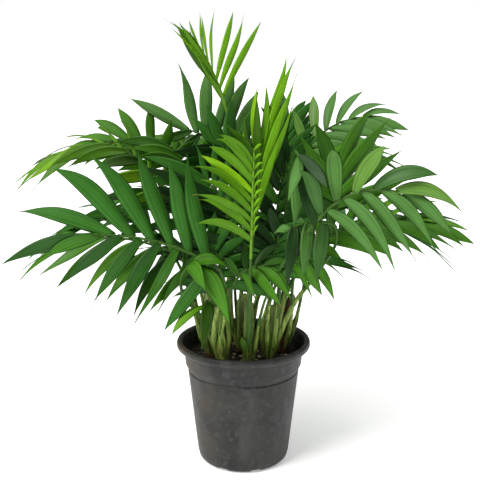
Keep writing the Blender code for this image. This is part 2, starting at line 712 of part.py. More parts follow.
def least_gap(one, two):
    """Distance between the nearest points of two surfaces, measured from the edges of each."""
    (points_one, tree_one), (points_two, tree_two) = one, two
    return min(min(tree_two.find_nearest(point)[3] for point in points_one),
               min(tree_one.find_nearest(point)[3] for point in points_two))


def seat_foot(line, cane, collection):
    """Move a petiole's foot until it stands the usual gap from its cane, easing out above."""
    points, radii = line
    carrier = surface_of(cane)
    middle = sum(carrier[0], Vector()) / len(carrier[0])
    for _ in range(SEAT_ROUNDS):
        foot = tube("foot_trial", points[:3], radii[:3], 0, collection)
        gap = least_gap(surface_of(foot), carrier)
        bpy.data.objects.remove(foot, do_unlink=True)
        inward = Vector((middle.x - points[0].x, middle.y - points[0].y, 0)).normalized()
        for index in range(PETIOLE_STEPS):
            share = (1 - index / PETIOLE_STEPS) ** 2
            points[index] = points[index] + inward * (gap - GAP) * share
    return points, radii


def is_closed(mesh):
    """Whether every edge has two faces and the mesh is one body."""
    body = bmesh.new()
    body.from_mesh(mesh)
    closed = bool(body.verts) and all(len(edge.link_faces) == 2 for edge in body.edges)
    body.free()
    return closed


def drop_scraps(mesh):
    """Keep only the largest body of a mesh."""
    body = bmesh.new()
    body.from_mesh(mesh)
    left = set(body.verts)
    islands = []
    while left:
        island, queue = set(), [next(iter(left))]
        while queue:
            corner = queue.pop()
            if corner not in left:
                continue
            left.discard(corner)
            island.add(corner)
            queue += [edge.other_vert(corner) for edge in corner.link_edges]
        islands.append(island)
    islands.sort(key=len)
    for island in islands[:-1]:
        bmesh.ops.delete(body, geom=list(island), context="VERTS")
    body.to_mesh(mesh)
    body.free()
    return len(islands) - 1


def build_frond(frond, line, leaves, collection):
    """A frond as one closed body: its rib with every leaf that stands clear fused on."""
    line = seat_foot(line, bpy.data.objects[frond.cane], collection)
    pieces = new_collection(frond.name + "_leaves")
    for index, leaf in enumerate(leaves):
        if leaf.clear:
            object_from(f"{frond.name}_leaf_{index}", *leaf_solid(leaf), pieces)
    for piece in pieces.objects:
        weld(piece.data)
    rib = tube(frond.name, *line, 0, collection)
    bare = rib.data.copy()
    for solver in ("EXACT", "MANIFOLD"):
        join = rib.modifiers.new("join", "BOOLEAN")
        join.operation = "UNION"
        join.operand_type = "COLLECTION"
        join.collection = pieces
        join.solver = solver
        applied(rib)
        weld(rib.data)
        scraps = drop_scraps(rib.data)
        if is_closed(rib.data) and scraps < 2:
            break
        print(f"{frond.name}: {solver} left {scraps} scraps, closed {is_closed(rib.data)}")
        rib.data = bare.copy()
    for piece in list(pieces.objects):
        bpy.data.objects.remove(piece, do_unlink=True)
    bpy.data.collections.remove(pieces)
    paint(rib, TONES[frond.tone], 0.45)
    return rib


TONES = {
    "deep": (0.020, 0.085, 0.020),
    "mid": (0.035, 0.150, 0.025),
    "grey": (0.060, 0.160, 0.060),
    "bright": (0.090, 0.260, 0.030),
    "lime": (0.220, 0.420, 0.040),
}


def main():
    """Build the whole plant."""
    start_clean()
    plant = new_collection("parlour_palm")
    cutters = new_collection("cutters")
    build_pot(plant, cutters)
    build_soil(plant)
    for cane in CANES:
        build_cane(cane, plant)
    fronds, spines, leaves = plan_plant()
    for frond in fronds:
        build_frond(frond, spines[frond.name], leaves[frond.name], plant)
    lost = sum(1 for own in leaves.values() for leaf in own if not leaf.clear)
    kept = sum(1 for own in leaves.values() for leaf in own if leaf.clear)
    print(f"{len(fronds)} fronds, {kept} leaves kept, {lost} left out")


main()
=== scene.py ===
"""Parlour palm in a nursery pot: the finished look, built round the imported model.

Metres, +Z up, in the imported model's own frame. The fronds follow the same rule as the solids that they
replace, so each leaflet here lies along the leaflet of its solid.
"""

import math
import random
from dataclasses import dataclass, replace

import bmesh
import bpy
from mathutils import Matrix, Vector, noise
from mathutils.bvhtree import BVHTree


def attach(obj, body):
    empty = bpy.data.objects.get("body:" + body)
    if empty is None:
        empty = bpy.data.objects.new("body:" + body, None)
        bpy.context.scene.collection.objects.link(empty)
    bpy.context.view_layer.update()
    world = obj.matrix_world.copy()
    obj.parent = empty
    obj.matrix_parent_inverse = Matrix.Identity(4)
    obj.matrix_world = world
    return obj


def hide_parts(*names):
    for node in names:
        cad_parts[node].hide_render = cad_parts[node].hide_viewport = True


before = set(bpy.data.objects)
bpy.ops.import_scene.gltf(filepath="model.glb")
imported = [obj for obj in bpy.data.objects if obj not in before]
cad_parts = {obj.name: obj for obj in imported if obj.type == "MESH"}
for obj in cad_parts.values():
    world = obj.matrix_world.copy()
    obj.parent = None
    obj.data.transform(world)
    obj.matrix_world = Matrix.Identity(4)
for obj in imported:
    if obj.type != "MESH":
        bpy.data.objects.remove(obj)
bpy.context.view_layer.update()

# The pot, from its outside: the rolled lip, the collar under it, the tapered body and the rounded foot.
POT_HEIGHT = 0.14
LIP_RADIUS = 0.075
LIP_DEPTH = 0.0088
LIP_INNER_RADIUS = 0.0685
COLLAR_RADIUS = 0.0668
COLLAR_FOOT_RADIUS = 0.0652
COLLAR_FOOT = 0.113
STEP_RADIUS = 0.0625
STEP_HEIGHT = 0.1062
HEEL_RADIUS = 0.0519
HEEL_HEIGHT = 0.009
FOOT_RADIUS = 0.047
WALL = 0.002
FLOOR = 0.005
DRAIN_COUNT = 8
DRAIN_TURN = -5.0
DRAIN_WIDTH = 0.013
DRAIN_HEIGHT = 0.0036

# The soil fills the pot up to a little under the lip.
GAP = 0.0003
SOIL_TOP = 0.122

UP = Vector((0, 0, 1))


@dataclass(frozen=True)
class Cane:
    """A short stem: where it leaves the soil, how far it rises and leans, and its radius at the foot."""

    name: str
    foot: tuple
    rise: float
    lean: tuple = (0.0, 0.0)
    radius: float = 0.006


@dataclass(frozen=True)
class Frond:
    """One leaf. Its rib runs from a cane, through the collar where its leaflets begin, to the tip.

    arch is how far the rib bows up between collar and tip, and face the way its upper side looks.
    spread is the angle between leaflet and rib in degrees, at the collar and at the tip; lift folds
    the two sides up towards the face; droop and sweep bend a leaflet down and towards the frond's tip.
    sides scales the leaflets of either side, and ends those at the collar and at the tip; they are
    longest at fullest, a share of the rib. skew turns one side in and the other out, and hold keeps
    the collar's angle for longer along the rib.
    """

    name: str
    cane: str
    collar: tuple
    tip: tuple
    arch: float = 0.015
    face: tuple = (0.0, -0.6, 0.8)
    pairs: int = 8
    leaf: float = 0.09
    width: float = 0.0135
    spread: tuple = (62.0, 24.0)
    lift: float = 18.0
    droop: float = 0.55
    sweep: float = 0.25
    sides: tuple = (1.0, 1.0)
    ends: tuple = (0.8, 0.7)
    skew: float = 0.0
    hold: float = 1.3
    fullest: float = 0.35
    tone: str = "deep"


CANES = (
    Cane("cane_west", (-0.036, -0.006), 0.056, (-0.007, -0.002), 0.0055),
    Cane("cane_south_west", (-0.023, -0.03), 0.064, (-0.004, -0.002), 0.0066),
    Cane("cane_south", (0.006, -0.034), 0.07, (0, -0.002), 0.0068),
    Cane("cane_south_east", (0.028, -0.022), 0.062, (0.003, -0.003), 0.0056),
    Cane("cane_east", (0.044, 0.006), 0.066, (0.01, 0), 0.0062),
    Cane("cane_north_east", (0.034, 0.034), 0.05, (0.005, 0.005), 0.0058),
    Cane("cane_north", (0.002, 0.047), 0.052, (0, 0.005), 0.006),
    Cane("cane_north_west", (-0.03, 0.034), 0.05, (-0.005, 0.005), 0.0058),
    Cane("cane_centre", (-0.002, 0.008), 0.06, (-0.001, 0.001), 0.006),
)

TO_VIEWER = (0, -1, 0.25)

FRONDS = (
    # In front, from the left to the right.
    Frond("frond_left_front", "cane_south_west", (-0.031, -0.085, 0.248), (-0.146, -0.098, 0.281), 0.009,
          (0, -1, 0.2), 7, 0.126, 0.018, (66, 0), 8, 0.36, 0.02, (1.04, 0.6), (0.95, 0.66), 15, 3.2),
    Frond("frond_left_low", "cane_west", (-0.051, -0.045, 0.235), (-0.172, -0.04, 0.262), 0.014,
          (0, -0.5, 0.9), 7, 0.078, 0.0125, (66, 2), 8, 0.75, 0.15, (1, 1), (0.8, 0.85), 10, 1.9,
          tone="mid"),
    Frond("frond_left_fold", "cane_south_west", (-0.059, -0.092, 0.243), (-0.045, -0.096, 0.25), 0.003,
          (0, -0.3, 1), 2, 0.058, 0.0205, (48, 30), 6, 1.25, 0, (0.9, 1), (1, 1), tone="mid"),
    Frond("frond_foot", "cane_south_west", (-0.022, -0.064, 0.194), (-0.04, -0.09, 0.207), 0.006,
          (0.2, -0.5, 0.9), 2, 0.054, 0.014, (60, 20), 5, 1.1, 0.1, tone="bright"),
    Frond("frond_low_centre", "cane_south_west", (-0.004, -0.062, 0.23), (0.024, -0.068, 0.242), 0.004,
          (0, -0.8, 0.6), 4, 0.046, 0.0115, (72, 24), 10, 0.7, 0.1, tone="mid"),
    Frond("frond_spear", "cane_south", (0.008, -0.082, 0.272), (0.0105, -0.076, 0.361), 0,
          TO_VIEWER, 10, 0.088, 0.0092, (31, 34), 12, 0.66, 0, (0.26, 1), (0.95, 0.6), 14, 1,
          tone="lime"),
    Frond("frond_right_front", "cane_south", (0.076, -0.102, 0.302), (0.15, -0.12, 0.327), 0.012,
          (0.05, -1, 0.3), 5, 0.08, 0.0165, (68, 9), 8, 0.68, 0.1, (0.85, 1), (0.95, 0.7), -6, 1.8,
          tone="grey"),
    Frond("frond_right_drops", "cane_south_east", (0.07, -0.094, 0.292), (0.036, -0.098, 0.287), 0.003,
          (0, -0.9, 0.5), 3, 0.04, 0.0165, (80, 46), 4, 1.2, 0, (0.5, 1), (1, 0.9), tone="grey"),
    Frond("frond_heart_fold", "cane_south_east", (0.054, -0.066, 0.356), (0.055, -0.076, 0.347), 0.002,
          (0, -1, 0.2), 2, 0.068, 0.0145, (12, 4), 4, 0.35, 0, (0.9, 1), (1, 0.9), tone="grey"),
    Frond("frond_right_foot", "cane_south_east", (0.038, -0.07, 0.24), (0.06, -0.086, 0.25), 0.004,
          (0, -0.6, 0.8), 3, 0.044, 0.012, (62, 24), 6, 1.2, 0.2, tone="mid"),
    Frond("frond_right_low", "cane_east", (0.071, -0.05, 0.255), (0.174, -0.07, 0.29), 0.011,
          (0, -0.5, 0.9), 9, 0.072, 0.0125, (62, 10), 12, 0.5, 0.15, (1, 1), (0.45, 0.8), 16, 1.7,
          tone="mid"),
    Frond("frond_right_fork", "cane_south_east", (0.097, -0.036, 0.294), (0.098, -0.034, 0.327), 0,
          TO_VIEWER, 4, 0.09, 0.016, (60, 17), 8, 0.12, 0.1, (1, 0.8), (0.8, 0.95), tone="mid"),
    # Behind them, from the left to the right.
    Frond("frond_left_high", "cane_west", (-0.087, 0.02, 0.3), (-0.21, 0.02, 0.341), 0.034,
          (0, -0.3, 1), 8, 0.07, 0.0125, (58, 14), 4, 0.5, 0.2, (1, 1), (0.95, 0.62), 0, 1.8,
          tone="bright"),
    Frond("frond_left_back", "cane_north_west", (-0.085, 0.06, 0.312), (-0.162, 0.072, 0.352), 0.02,
          (0, -0.9, 0.6), 7, 0.066, 0.0125, (58, 16), 10, 0.35, 0.1, (1, 0.8), (1, 0.75), tone="mid"),
    Frond("frond_left_inner", "cane_centre", (-0.012, -0.036, 0.258), (-0.036, -0.03, 0.322), 0.006,
          (0.4, -1, 0.3), 7, 0.108, 0.0135, (62, 24), 10, 0.3, 0.2, (0.6, 1)),
    Frond("frond_centre_dark", "cane_centre", (-0.004, 0, 0.33), (-0.026, -0.004, 0.356), 0.003,
          TO_VIEWER, 5, 0.07, 0.0145, (64, 22), 8, 0.15, 0.1),
    Frond("frond_heart", "cane_centre", (0.034, -0.024, 0.255), (0.046, -0.014, 0.345), 0.004,
          TO_VIEWER, 7, 0.07, 0.014, (56, 22), 14, 0.3, 0.2),
    Frond("frond_shade_left", "cane_south_west", (-0.018, -0.048, 0.212), (-0.027, -0.052, 0.262), 0.003,
          TO_VIEWER, 6, 0.064, 0.0135, (84, 26), 10, 0.45, 0.1),
    Frond("frond_shade_right", "cane_south_east", (0.03, -0.044, 0.222), (0.037, -0.05, 0.27), 0.003,
          TO_VIEWER, 6, 0.062, 0.0135, (84, 26), 10, 0.45, 0.1),
    Frond("frond_top_lime", "cane_north", (-0.022, 0.05, 0.402), (-0.048, 0.05, 0.46), 0.002,
          TO_VIEWER, 7, 0.11, 0.0076, (29, 12), 8, 0.1, 0, (0.94, 1), (1, 0.32), -13, 1.2,
          fullest=-0.3, tone="lime"),
    Frond("frond_top_dark", "cane_north_west", (-0.013, 0.078, 0.341), (-0.063, 0.078, 0.366), 0.003,
          TO_VIEWER, 6, 0.088, 0.014, (80, 18), 4, 0.05, 0, (1, 0.6), (0.95, 0.94), 0, 3.8,
          tone="grey"),
    Frond("frond_top_spike", "cane_centre", (0.011, -0.058, 0.288), (0.019, -0.05, 0.356), 0.001,
          TO_VIEWER, 6, 0.112, 0.0092, (17, 4), 6, 0.05, 0, (1, 0.76), (0.7, 0.95), 0, tone="lime"),
    Frond("frond_top_right", "cane_north", (0.047, 0.08, 0.318), (0.052, 0.09, 0.37), 0.004,
          TO_VIEWER, 5, 0.064, 0.0115, (42, 18), 10, 0.15, 0.1),
    Frond("frond_right_high", "cane_north_east", (0.065, 0.056, 0.332), (0.142, 0.07, 0.382), 0.014,
          (0, -0.7, 0.7), 7, 0.066, 0.013, (60, 20), 10, 0.45, 0.2, tone="grey"),
)

# Rows of fronds round the back: how many, first and last bearing, reach and height of collars and of tips,
# arch, pairs, leaf and tone. Bearings run from the plant's right (0) by its back (90) to its left (180).
ROWS = {
    "frond_back_low": (5, (8, 172), (0.09, 0.245), (0.178, 0.264), 0.018, 8, 0.082, "deep"),
    "frond_back_high": (4, (32, 148), (0.074, 0.31), (0.142, 0.345), 0.015, 8, 0.08, "mid"),
    "frond_inner": (6, (6, 186), (0.046, 0.214), (0.086, 0.24), 0.01, 6, 0.064, "deep"),
}
ROW_WIDTH = 0.0135
ROW_SPREAD = (66, 24)
ROW_BEND = (12, 0.55, 0.3)
BEARING_JITTER = 5
TIP_JITTER = 8
LIFT_JITTER = 0.012
# They grow from the canes behind this place along Y.
REAR_CANES = -0.008

# How a leaf is turned and shortened, in turn, until it stands clear of every other frond.
TRIES = ((0, 0, 1), (8, 0, 1), (-8, 0, 1), (0, 7, 1), (0, -7, 1), (15, 5, 0.95), (-15, 5, 0.95),
         (15, -5, 0.95), (-15, -5, 0.95), (24, 0, 0.9), (-24, 0, 0.9), (0, 0, 0.82), (12, 9, 0.82),
         (-12, -9, 0.82), (32, 0, 0.85), (-32, 0, 0.85), (0, 0, 0.66), (20, 8, 0.66), (-20, -8, 0.66))
LAST_TRY = (0, 0, 0.9)
CLEARANCE = 0.0004
# A leaf's foot may touch its neighbours on the same rib: the share left out, and how many are looked at.
ROOT_SHARE = 0.06
NEAR_LEAVES = 6
# How a frond is turned about the pot and its stalk bulged, in turn, until its spine stands clear.
SPINE_CLEARANCE = 0.001
TURNS = (0, 6, -6, 12, -12, 18, -18)
BULGES = ((0, 0), (0, 0.006), (0, -0.006), (0.006, 0), (-0.006, 0), (0, 0.012), (0, -0.012), (0.012, 0),
          (0.01, 0.01), (0.01, -0.01), (-0.008, 0.008), (-0.008, -0.008), (0, 0.018), (0, -0.018),
          (0.018, 0), (0.015, 0.015), (0.015, -0.015), (0, 0.026), (0, -0.026))

# Stalks and ribs, then the solids that leaflets follow: how far along each station lies, and its width.
PETIOLE_STEPS = 5
PETIOLE_FOOT_RADIUS = 0.0023
COLLAR_RIB_RADIUS = 0.0017
TIP_RIB_RADIUS = 0.0011
LONG_LEAF = 0.078
LONG_STATIONS = ((0.0, 0.1), (0.36, 1.0), (0.7, 0.72))
SHORT_STATIONS = ((0.0, 0.1), (0.45, 1.0))
LEAF_THICKNESS = 0.0012
EDGE_DEPTH = 0.35
# Turn of each blade about its own length, in degrees, by which neighbours lie like slats.
SLAT = 24.0
# How leaflets vary: by degrees for the angle, the lift and the twist, and by shares for the rest.
LEAF_ODDS = {"angle": (-4, 4), "lift": (-6, 6), "length": (0.92, 1.06), "width": (0.92, 1.08),
             "droop": (0.8, 1.2), "sweep": (0.7, 1.3), "twist": (-16, 16)}
SLIM_WIDTH = 0.45
COLLAR_CURVE = 2
TIP_CURVE = 1.6
# How far one side's leaflets lag behind the other's, and where the rib bends between them, in gaps.
LAG = 0.3
RIB_BETWEEN = 0.65
# Where the rib starts, as a share of its length, and how far it goes on past its tip, in metres.
RIB_BEFORE = -0.04
RIB_PAST_TIP = 0.002
# A stalk's foot: its share of the cane's height, its lean and its room. Feet stand apart by degrees.
STALK_SHARE = 0.45
STALK_LEAN = 0.12
FOOT_SWELL = 1.45
FEET_APART = 52
FEET_SPAN = 330
SPREAD_ROUNDS = 60
# What leaves keep clear of is a little larger than it is.
CANE_MARGIN = 1.1
TUBE_SWELL = 1.25
GUARD = 0.001
GUARD_STEPS = 24
# A direction that no stem follows.
ODD_AXIS = Vector((0.31, 0.87, 0.38))


@dataclass
class Leaf:
    """One leaflet: a blade that leaves its root along heading and bends steadily by bend."""

    root: Vector
    heading: Vector
    bend: Vector
    across: Vector
    length: float
    width: float
    twist: float
    clear: bool = True


def quadratic(start, middle, end, t):
    """Point on the curve that leaves start towards middle and reaches end."""
    return start * (1 - t) ** 2 + middle * (2 * t * (1 - t)) + end * t * t


def hermite(start, leaving, end, arriving, t):
    """Point on the smooth curve between two points with these directions."""
    a, b = 2 * t**3 - 3 * t**2 + 1, t**3 - 2 * t**2 + t
    c, d = -2 * t**3 + 3 * t**2, t**3 - t**2
    return start * a + leaving * b + end * c + arriving * d


def square_to(vector, axis):
    """The part of vector that is square to axis, at unit length."""
    return (vector - axis * vector.dot(axis)).normalized()


def polar(bearing, reach, height):
    """Point at a bearing in degrees, a distance from the pot's axis and a height."""
    angle = math.radians(bearing)
    return Vector((reach * math.cos(angle), reach * math.sin(angle), height))


def turned_points(stations, steps):
    """Rings of points about the pot's axis, one for each station of reach and height."""
    return [polar(360 * step / steps, *station) for station in stations for step in range(steps)]


def walls(rings, sides, start=0):
    """Faces between rings of points with so many sides, from the point numbered start."""
    faces = []
    for ring in range(rings - 1):
        for side in range(sides):
            a, b = (start + ring * sides + step for step in (side, (side + 1) % sides))
            faces.append((a, b, b + sides, a + sides))
    return faces


def inside_out(faces):
    """The same four-cornered faces, seen from their other side."""
    return [(a, d, c, b) for a, b, c, d in faces]


def way_at(points, index):
    """Direction of a line of points at one of them."""
    before, after = points[max(index - 1, 0)], points[min(index + 1, len(points) - 1)]
    return (after - before).normalized()


def back_fronds():
    """The rows of fronds round the back, each on the cane that stands nearest to it."""
    fronds = []
    rear = [cane for cane in CANES if cane.foot[1] > REAR_CANES]
    for name, (count, (first, last), collars, tips, arch, pairs, leaf, tone) in ROWS.items():
        rule = random.Random(name)
        for index in range(count):
            bearing = first + (last - first) * index / (count - 1)
            bearing += rule.uniform(-BEARING_JITTER, BEARING_JITTER)
            lift = rule.uniform(-LIFT_JITTER, LIFT_JITTER)
            collar = polar(bearing, collars[0], collars[1] + lift)
            tip = polar(bearing + rule.uniform(-TIP_JITTER, TIP_JITTER), tips[0], tips[1] + lift)
            nearest = min(rear, key=lambda cane: (Vector(cane.foot) - collar.xy).length)
            fronds.append(Frond(f"{name}_{index + 1}", nearest.name, tuple(collar), tuple(tip), arch,
                                UP, pairs, leaf, ROW_WIDTH, ROW_SPREAD, *ROW_BEND, tone=tone))
    return fronds


def cane_point(cane, share):
    """Point on a cane's axis, share of the way up it."""
    foot = Vector((*cane.foot, SOIL_TOP + GAP))
    return foot + Vector((*cane.lean, cane.rise)) * share


def foot_bearings(cane, fronds):
    """Bearing, in radians, at which each frond of a cane leaves it, spread so that no two meet."""
    centre = cane_point(cane, 1.0)
    wanted = []
    for frond in fronds:
        towards = Vector(frond.collar) - centre
        wanted.append([math.atan2(towards.y, towards.x), frond.name])
    wanted.sort()
    apart = math.radians(min(FEET_APART, FEET_SPAN / len(wanted)))
    for _ in range(SPREAD_ROUNDS):
        for index, this in enumerate(wanted):
            after = wanted[(index + 1) % len(wanted)]
            wrap = 2 * math.pi if index + 1 == len(wanted) else 0.0
            short = apart - (after[0] + wrap - this[0])
            if len(wanted) > 1 and short > 0:
                this[0] -= short / 2
                after[0] += short / 2
    return {name: bearing for bearing, name in wanted}


def rib_at(frond, t):
    """Point on the rib between collar (0) and tip (1), with its direction, face and side."""
    collar, tip = Vector(frond.collar), Vector(frond.tip)
    bow = square_to(UP, (tip - collar).normalized())
    middle = (collar + tip) / 2 + bow * (2 * frond.arch)
    along = ((middle - collar) * (1 - t) + (tip - middle) * t).normalized()
    face = square_to(Vector(frond.face), along)
    return quadratic(collar, middle, tip, t), along, face, along.cross(face)


def spine(frond, cane, bearing, bulge):
    """Points and radii from the frond's foot beside its cane to the rib's tip, bulged on the way."""
    out = Vector((math.cos(bearing), math.sin(bearing), 0))
    beside = cane.radius + PETIOLE_FOOT_RADIUS * FOOT_SWELL + GAP
    foot = cane_point(cane, STALK_SHARE) + out * beside
    collar, along, _, _ = rib_at(frond, 0)
    span = (collar - foot).length
    leaving = (Vector((*cane.lean, cane.rise)).normalized() + out * STALK_LEAN) * span
    aside = (collar - foot).normalized().cross(out).normalized()
    points, radii = [], []
    for step in range(PETIOLE_STEPS):
        t = step / (PETIOLE_STEPS - 0.5)
        bulged = (out * bulge[0] + aside * bulge[1]) * math.sin(math.pi * t) ** 2
        points.append(hermite(foot, leaving, collar, along * span, t) + bulged)
        radii.append(PETIOLE_FOOT_RADIUS + (COLLAR_RIB_RADIUS - PETIOLE_FOOT_RADIUS) * t)
    gaps = frond.pairs - 1 + LAG
    for t in [RIB_BEFORE] + [(step + RIB_BETWEEN) / gaps for step in range(frond.pairs - 1)]:
        end = min(t, 1.0)
        points.append(rib_at(frond, end)[0])
        radii.append(COLLAR_RIB_RADIUS + (TIP_RIB_RADIUS - COLLAR_RIB_RADIUS) * end)
    point, along, _, _ = rib_at(frond, 1.0)
    points.append(point + along * RIB_PAST_TIP)
    radii.append(TIP_RIB_RADIUS)
    return points, radii


def turned(frond, degrees):
    """The frond turned about the pot's axis."""
    turn = Matrix.Rotation(math.radians(degrees), 3, "Z")
    values = {key: tuple(turn @ Vector(getattr(frond, key))) for key in ("collar", "tip", "face")}
    return replace(frond, **values)


def clear_spine(frond, cane, bearing, tree):
    """The frond, turned if need be, and its least bulged spine that stands clear of the tree."""
    for degrees in TURNS:
        moved = turned(frond, degrees)
        for bulge in BULGES:
            line = spine(moved, cane, bearing, bulge)
            if not BVHTree.FromPolygons(*tube_solid(*line, SPINE_CLEARANCE)).overlap(tree):
                return moved, line
    return frond, spine(frond, cane, bearing, BULGES[0])


def leaf_at(frond, pair, side, rule):
    """The values of one leaflet before it is turned, from the frond's row and a seeded rule."""
    t = min(1.0, (pair + (LAG if side > 0 else 0.0)) / (frond.pairs - 1 + LAG))
    base_angle, tip_angle = frond.spread
    shortfall = (1 - frond.ends[0]) * ((frond.fullest - t) / frond.fullest) ** COLLAR_CURVE
    if t > frond.fullest:
        shortfall = (1 - frond.ends[1]) * ((t - frond.fullest) / (1 - frond.fullest)) ** TIP_CURVE
    size = (1 - shortfall) * frond.sides[0 if side > 0 else 1]
    odds = {key: rule.uniform(*span) for key, span in LEAF_ODDS.items()}
    return {
        "t": t,
        "side": side,
        "angle": base_angle + (tip_angle - base_angle) * t**frond.hold - frond.skew * side * (1 - t)
        + odds["angle"],
        "lift": frond.lift + odds["lift"],
        "length": frond.leaf * size * odds["length"],
        "width": frond.width * (SLIM_WIDTH + (1 - SLIM_WIDTH) * size) * odds["width"],
        "droop": frond.droop * odds["droop"],
        "sweep": frond.sweep * odds["sweep"],
        "twist": math.radians(odds["twist"]),
    }


def make_leaf(frond, values, turn, swing, share):
    """The leaflet that these values give, lifted by turn and swung by swing degrees."""
    root, along, face, side = rib_at(frond, values["t"])
    angle = math.radians(values["angle"] + swing)
    lift = math.radians(values["lift"] + turn)
    outward = side * (values["side"] * math.cos(lift)) + face * math.sin(lift)
    heading = along * math.cos(angle) + outward * math.sin(angle)
    bend = along * values["sweep"] - UP * values["droop"]
    flat = square_to(along, heading)
    slat = math.radians(SLAT)
    across = flat * math.cos(slat) + face * math.sin(slat)
    return Leaf(root, heading, bend, across, values["length"] * share, values["width"], values["twist"])


def blade_at(leaf, u):
    """Middle of the blade, u of the way along it, with its direction, width and upper side."""
    middle = leaf.root + (leaf.heading * u + leaf.bend * (u * u / 2)) * leaf.length
    along = (leaf.heading + leaf.bend * u).normalized()
    across = square_to(leaf.across, along)
    lower = along.cross(across)
    across = across * math.cos(leaf.twist * u) + lower * math.sin(leaf.twist * u)
    return middle, along, across, across.cross(along)


def leaf_solid(leaf, margin=0.0, start=0.0):
    """Points and faces of a leaflet as a closed three-sided blade, thickened by a margin."""
    points = []
    for u, share in LONG_STATIONS if leaf.length > LONG_LEAF else SHORT_STATIONS:
        if u < start:
            u, share = start, share + 2 * start
        middle, _, across, normal = blade_at(leaf, u)
        half = leaf.width * share / 2 + margin
        points.append(middle + across * half + normal * margin)
        points.append(middle - across * half + normal * margin)
        depth = LEAF_THICKNESS * (EDGE_DEPTH + (1 - EDGE_DEPTH) * share)
        points.append(middle - normal * (depth + margin))
    middle, along, _, _ = blade_at(leaf, 1.0)
    points.append(middle + along * margin)
    tip = len(points) - 1
    faces = [(0, 1, 2)]
    for a, b, c, d in walls(tip // 3, 3):
        faces += [(a, d, c), (a, c, b)]
    for edge in range(3):
        faces.append((tip - 3 + edge, tip, tip - 3 + (edge + 1) % 3))
    return points, faces


def tube_solid(points, radii, margin=0.0):
    """Points and faces of a square tube round a line, used only to keep leaves clear of it."""
    ring_points = []
    for index, (point, radius) in enumerate(zip(points, radii)):
        along = way_at(points, index)
        one = square_to(ODD_AXIS, along)
        two = along.cross(one)
        reach = (radius + margin) * TUBE_SWELL
        ring_points += [point + way * reach for way in (one, two, -one, -two)]
    return ring_points, walls(len(points), 4)


def gathered(solids):
    """Many solids as one list of points and one of faces."""
    points, faces = [], []
    for solid_points, solid_faces in solids:
        start = len(points)
        points += solid_points
        faces += [tuple(start + corner for corner in face) for face in solid_faces]
    return points, faces


def cane_guard(cane):
    """A plain tube round a cane."""
    return tube_solid([cane_point(cane, 0.0), cane_point(cane, 1.0)], [cane.radius * CANE_MARGIN] * 2)


def lip_guard():
    """The soil's top and the pot's lip as bare surfaces that leaves keep clear of."""
    soil, rim, outside = SOIL_TOP + GUARD, POT_HEIGHT + GUARD, LIP_RADIUS + GUARD
    stations = ((0.0, soil), (LIP_INNER_RADIUS, soil), (LIP_INNER_RADIUS - GUARD, rim), (outside, rim),
                (outside, 0.0))
    return turned_points(stations, GUARD_STEPS), walls(len(stations), GUARD_STEPS)


def clear_leaf(frond, values, tree, own):
    """The leaflet in the first of the tries that stands clear of the tree and of its own frond."""
    past_root = [leaf_solid(leaf, 0.0, ROOT_SHARE) for leaf in own[-NEAR_LEAVES:] if leaf.clear]
    beside = BVHTree.FromPolygons(*gathered(past_root)) if past_root else None
    second = None
    for turn, swing, share in TRIES:
        leaf = make_leaf(frond, values, turn, swing, share)
        if BVHTree.FromPolygons(*leaf_solid(leaf, CLEARANCE)).overlap(tree):
            continue
        second = second or leaf
        bare = BVHTree.FromPolygons(*leaf_solid(leaf, CLEARANCE / 2, ROOT_SHARE))
        if not beside or not bare.overlap(beside):
            return leaf
    if second is None:
        second = make_leaf(frond, values, *LAST_TRY)
        second.clear = False
    return second


def plan_plant():
    """Spines and leaflets of every frond, each leaflet turned until it is clear of the rest."""
    fronds = list(FRONDS) + back_fronds()
    canes = {cane.name: cane for cane in CANES}
    bearings = {}
    for cane in CANES:
        own = [frond for frond in fronds if frond.cane == cane.name]
        if own:
            bearings.update(foot_bearings(cane, own))
    still = [lip_guard()]
    spines = {}
    for index, frond in enumerate(fronds):
        own = canes[frond.cane]
        others = [cane_guard(cane) for cane in CANES if cane is not own]
        lines = [tube_solid(*line) for line in spines.values()]
        tree = BVHTree.FromPolygons(*gathered(still + others + lines))
        fronds[index], spines[frond.name] = clear_spine(frond, own, bearings[frond.name], tree)
    still += [cane_guard(cane) for cane in CANES]
    placed = []
    leaves = {}
    for frond in fronds:
        others = [tube_solid(*spines[other.name]) for other in fronds if other is not frond]
        tree = BVHTree.FromPolygons(*gathered(still + others + placed))
        rule = random.Random(frond.name)
        own = []
        for pair in range(frond.pairs):
            for side in (1, -1):
                own.append(clear_leaf(frond, leaf_at(frond, pair, side, rule), tree, own))
        leaves[frond.name] = own
        placed += [leaf_solid(leaf, CLEARANCE / 2) for leaf in own if leaf.clear]
    return fronds, spines, leaves


# Blades: rings along each, points across its upper side, and how far the two halves fold up.
BLADE_RINGS = 18
BLADE_ACROSS = 7
BLADE_THICKNESS = 0.00045
LEAF_KEEL = (26.0, 5.0)
SHEATH_KEEL = (-48.0, -14.0)
KEEL_PACE = 1.6
# Leaflets under this width have barely opened, so they stay folded.
YOUNG_WIDTH = 0.0065
YOUNG_KEEL = (64.0, 56.0)
ROOT_WIDTH = 0.42
ROOT_CURVE = 0.85
WIDEST = 0.42
FULLNESS = 1.12
FOLD = 1.4
PLEATS = 3
PLEAT_DEPTH = 0.00016
TIP_PINCH = 0.35
# How blades vary: their tip's fall and wander and their arch by shares of the length, the roll in degrees.
BLADE_ODDS = {"fall": (0.03, 0.13), "wander": (-0.07, 0.07), "wave": (2.2, 4.2), "arch": (-0.012, 0.022),
              "taper": (1.35, 3.0), "roll": (-45.0, 45.0)}
DRY_SHARE = 0.3
DRY_FROM = 0.96
THREADS = (0.04, 0.16)
THREAD_WIDTH = 0.035

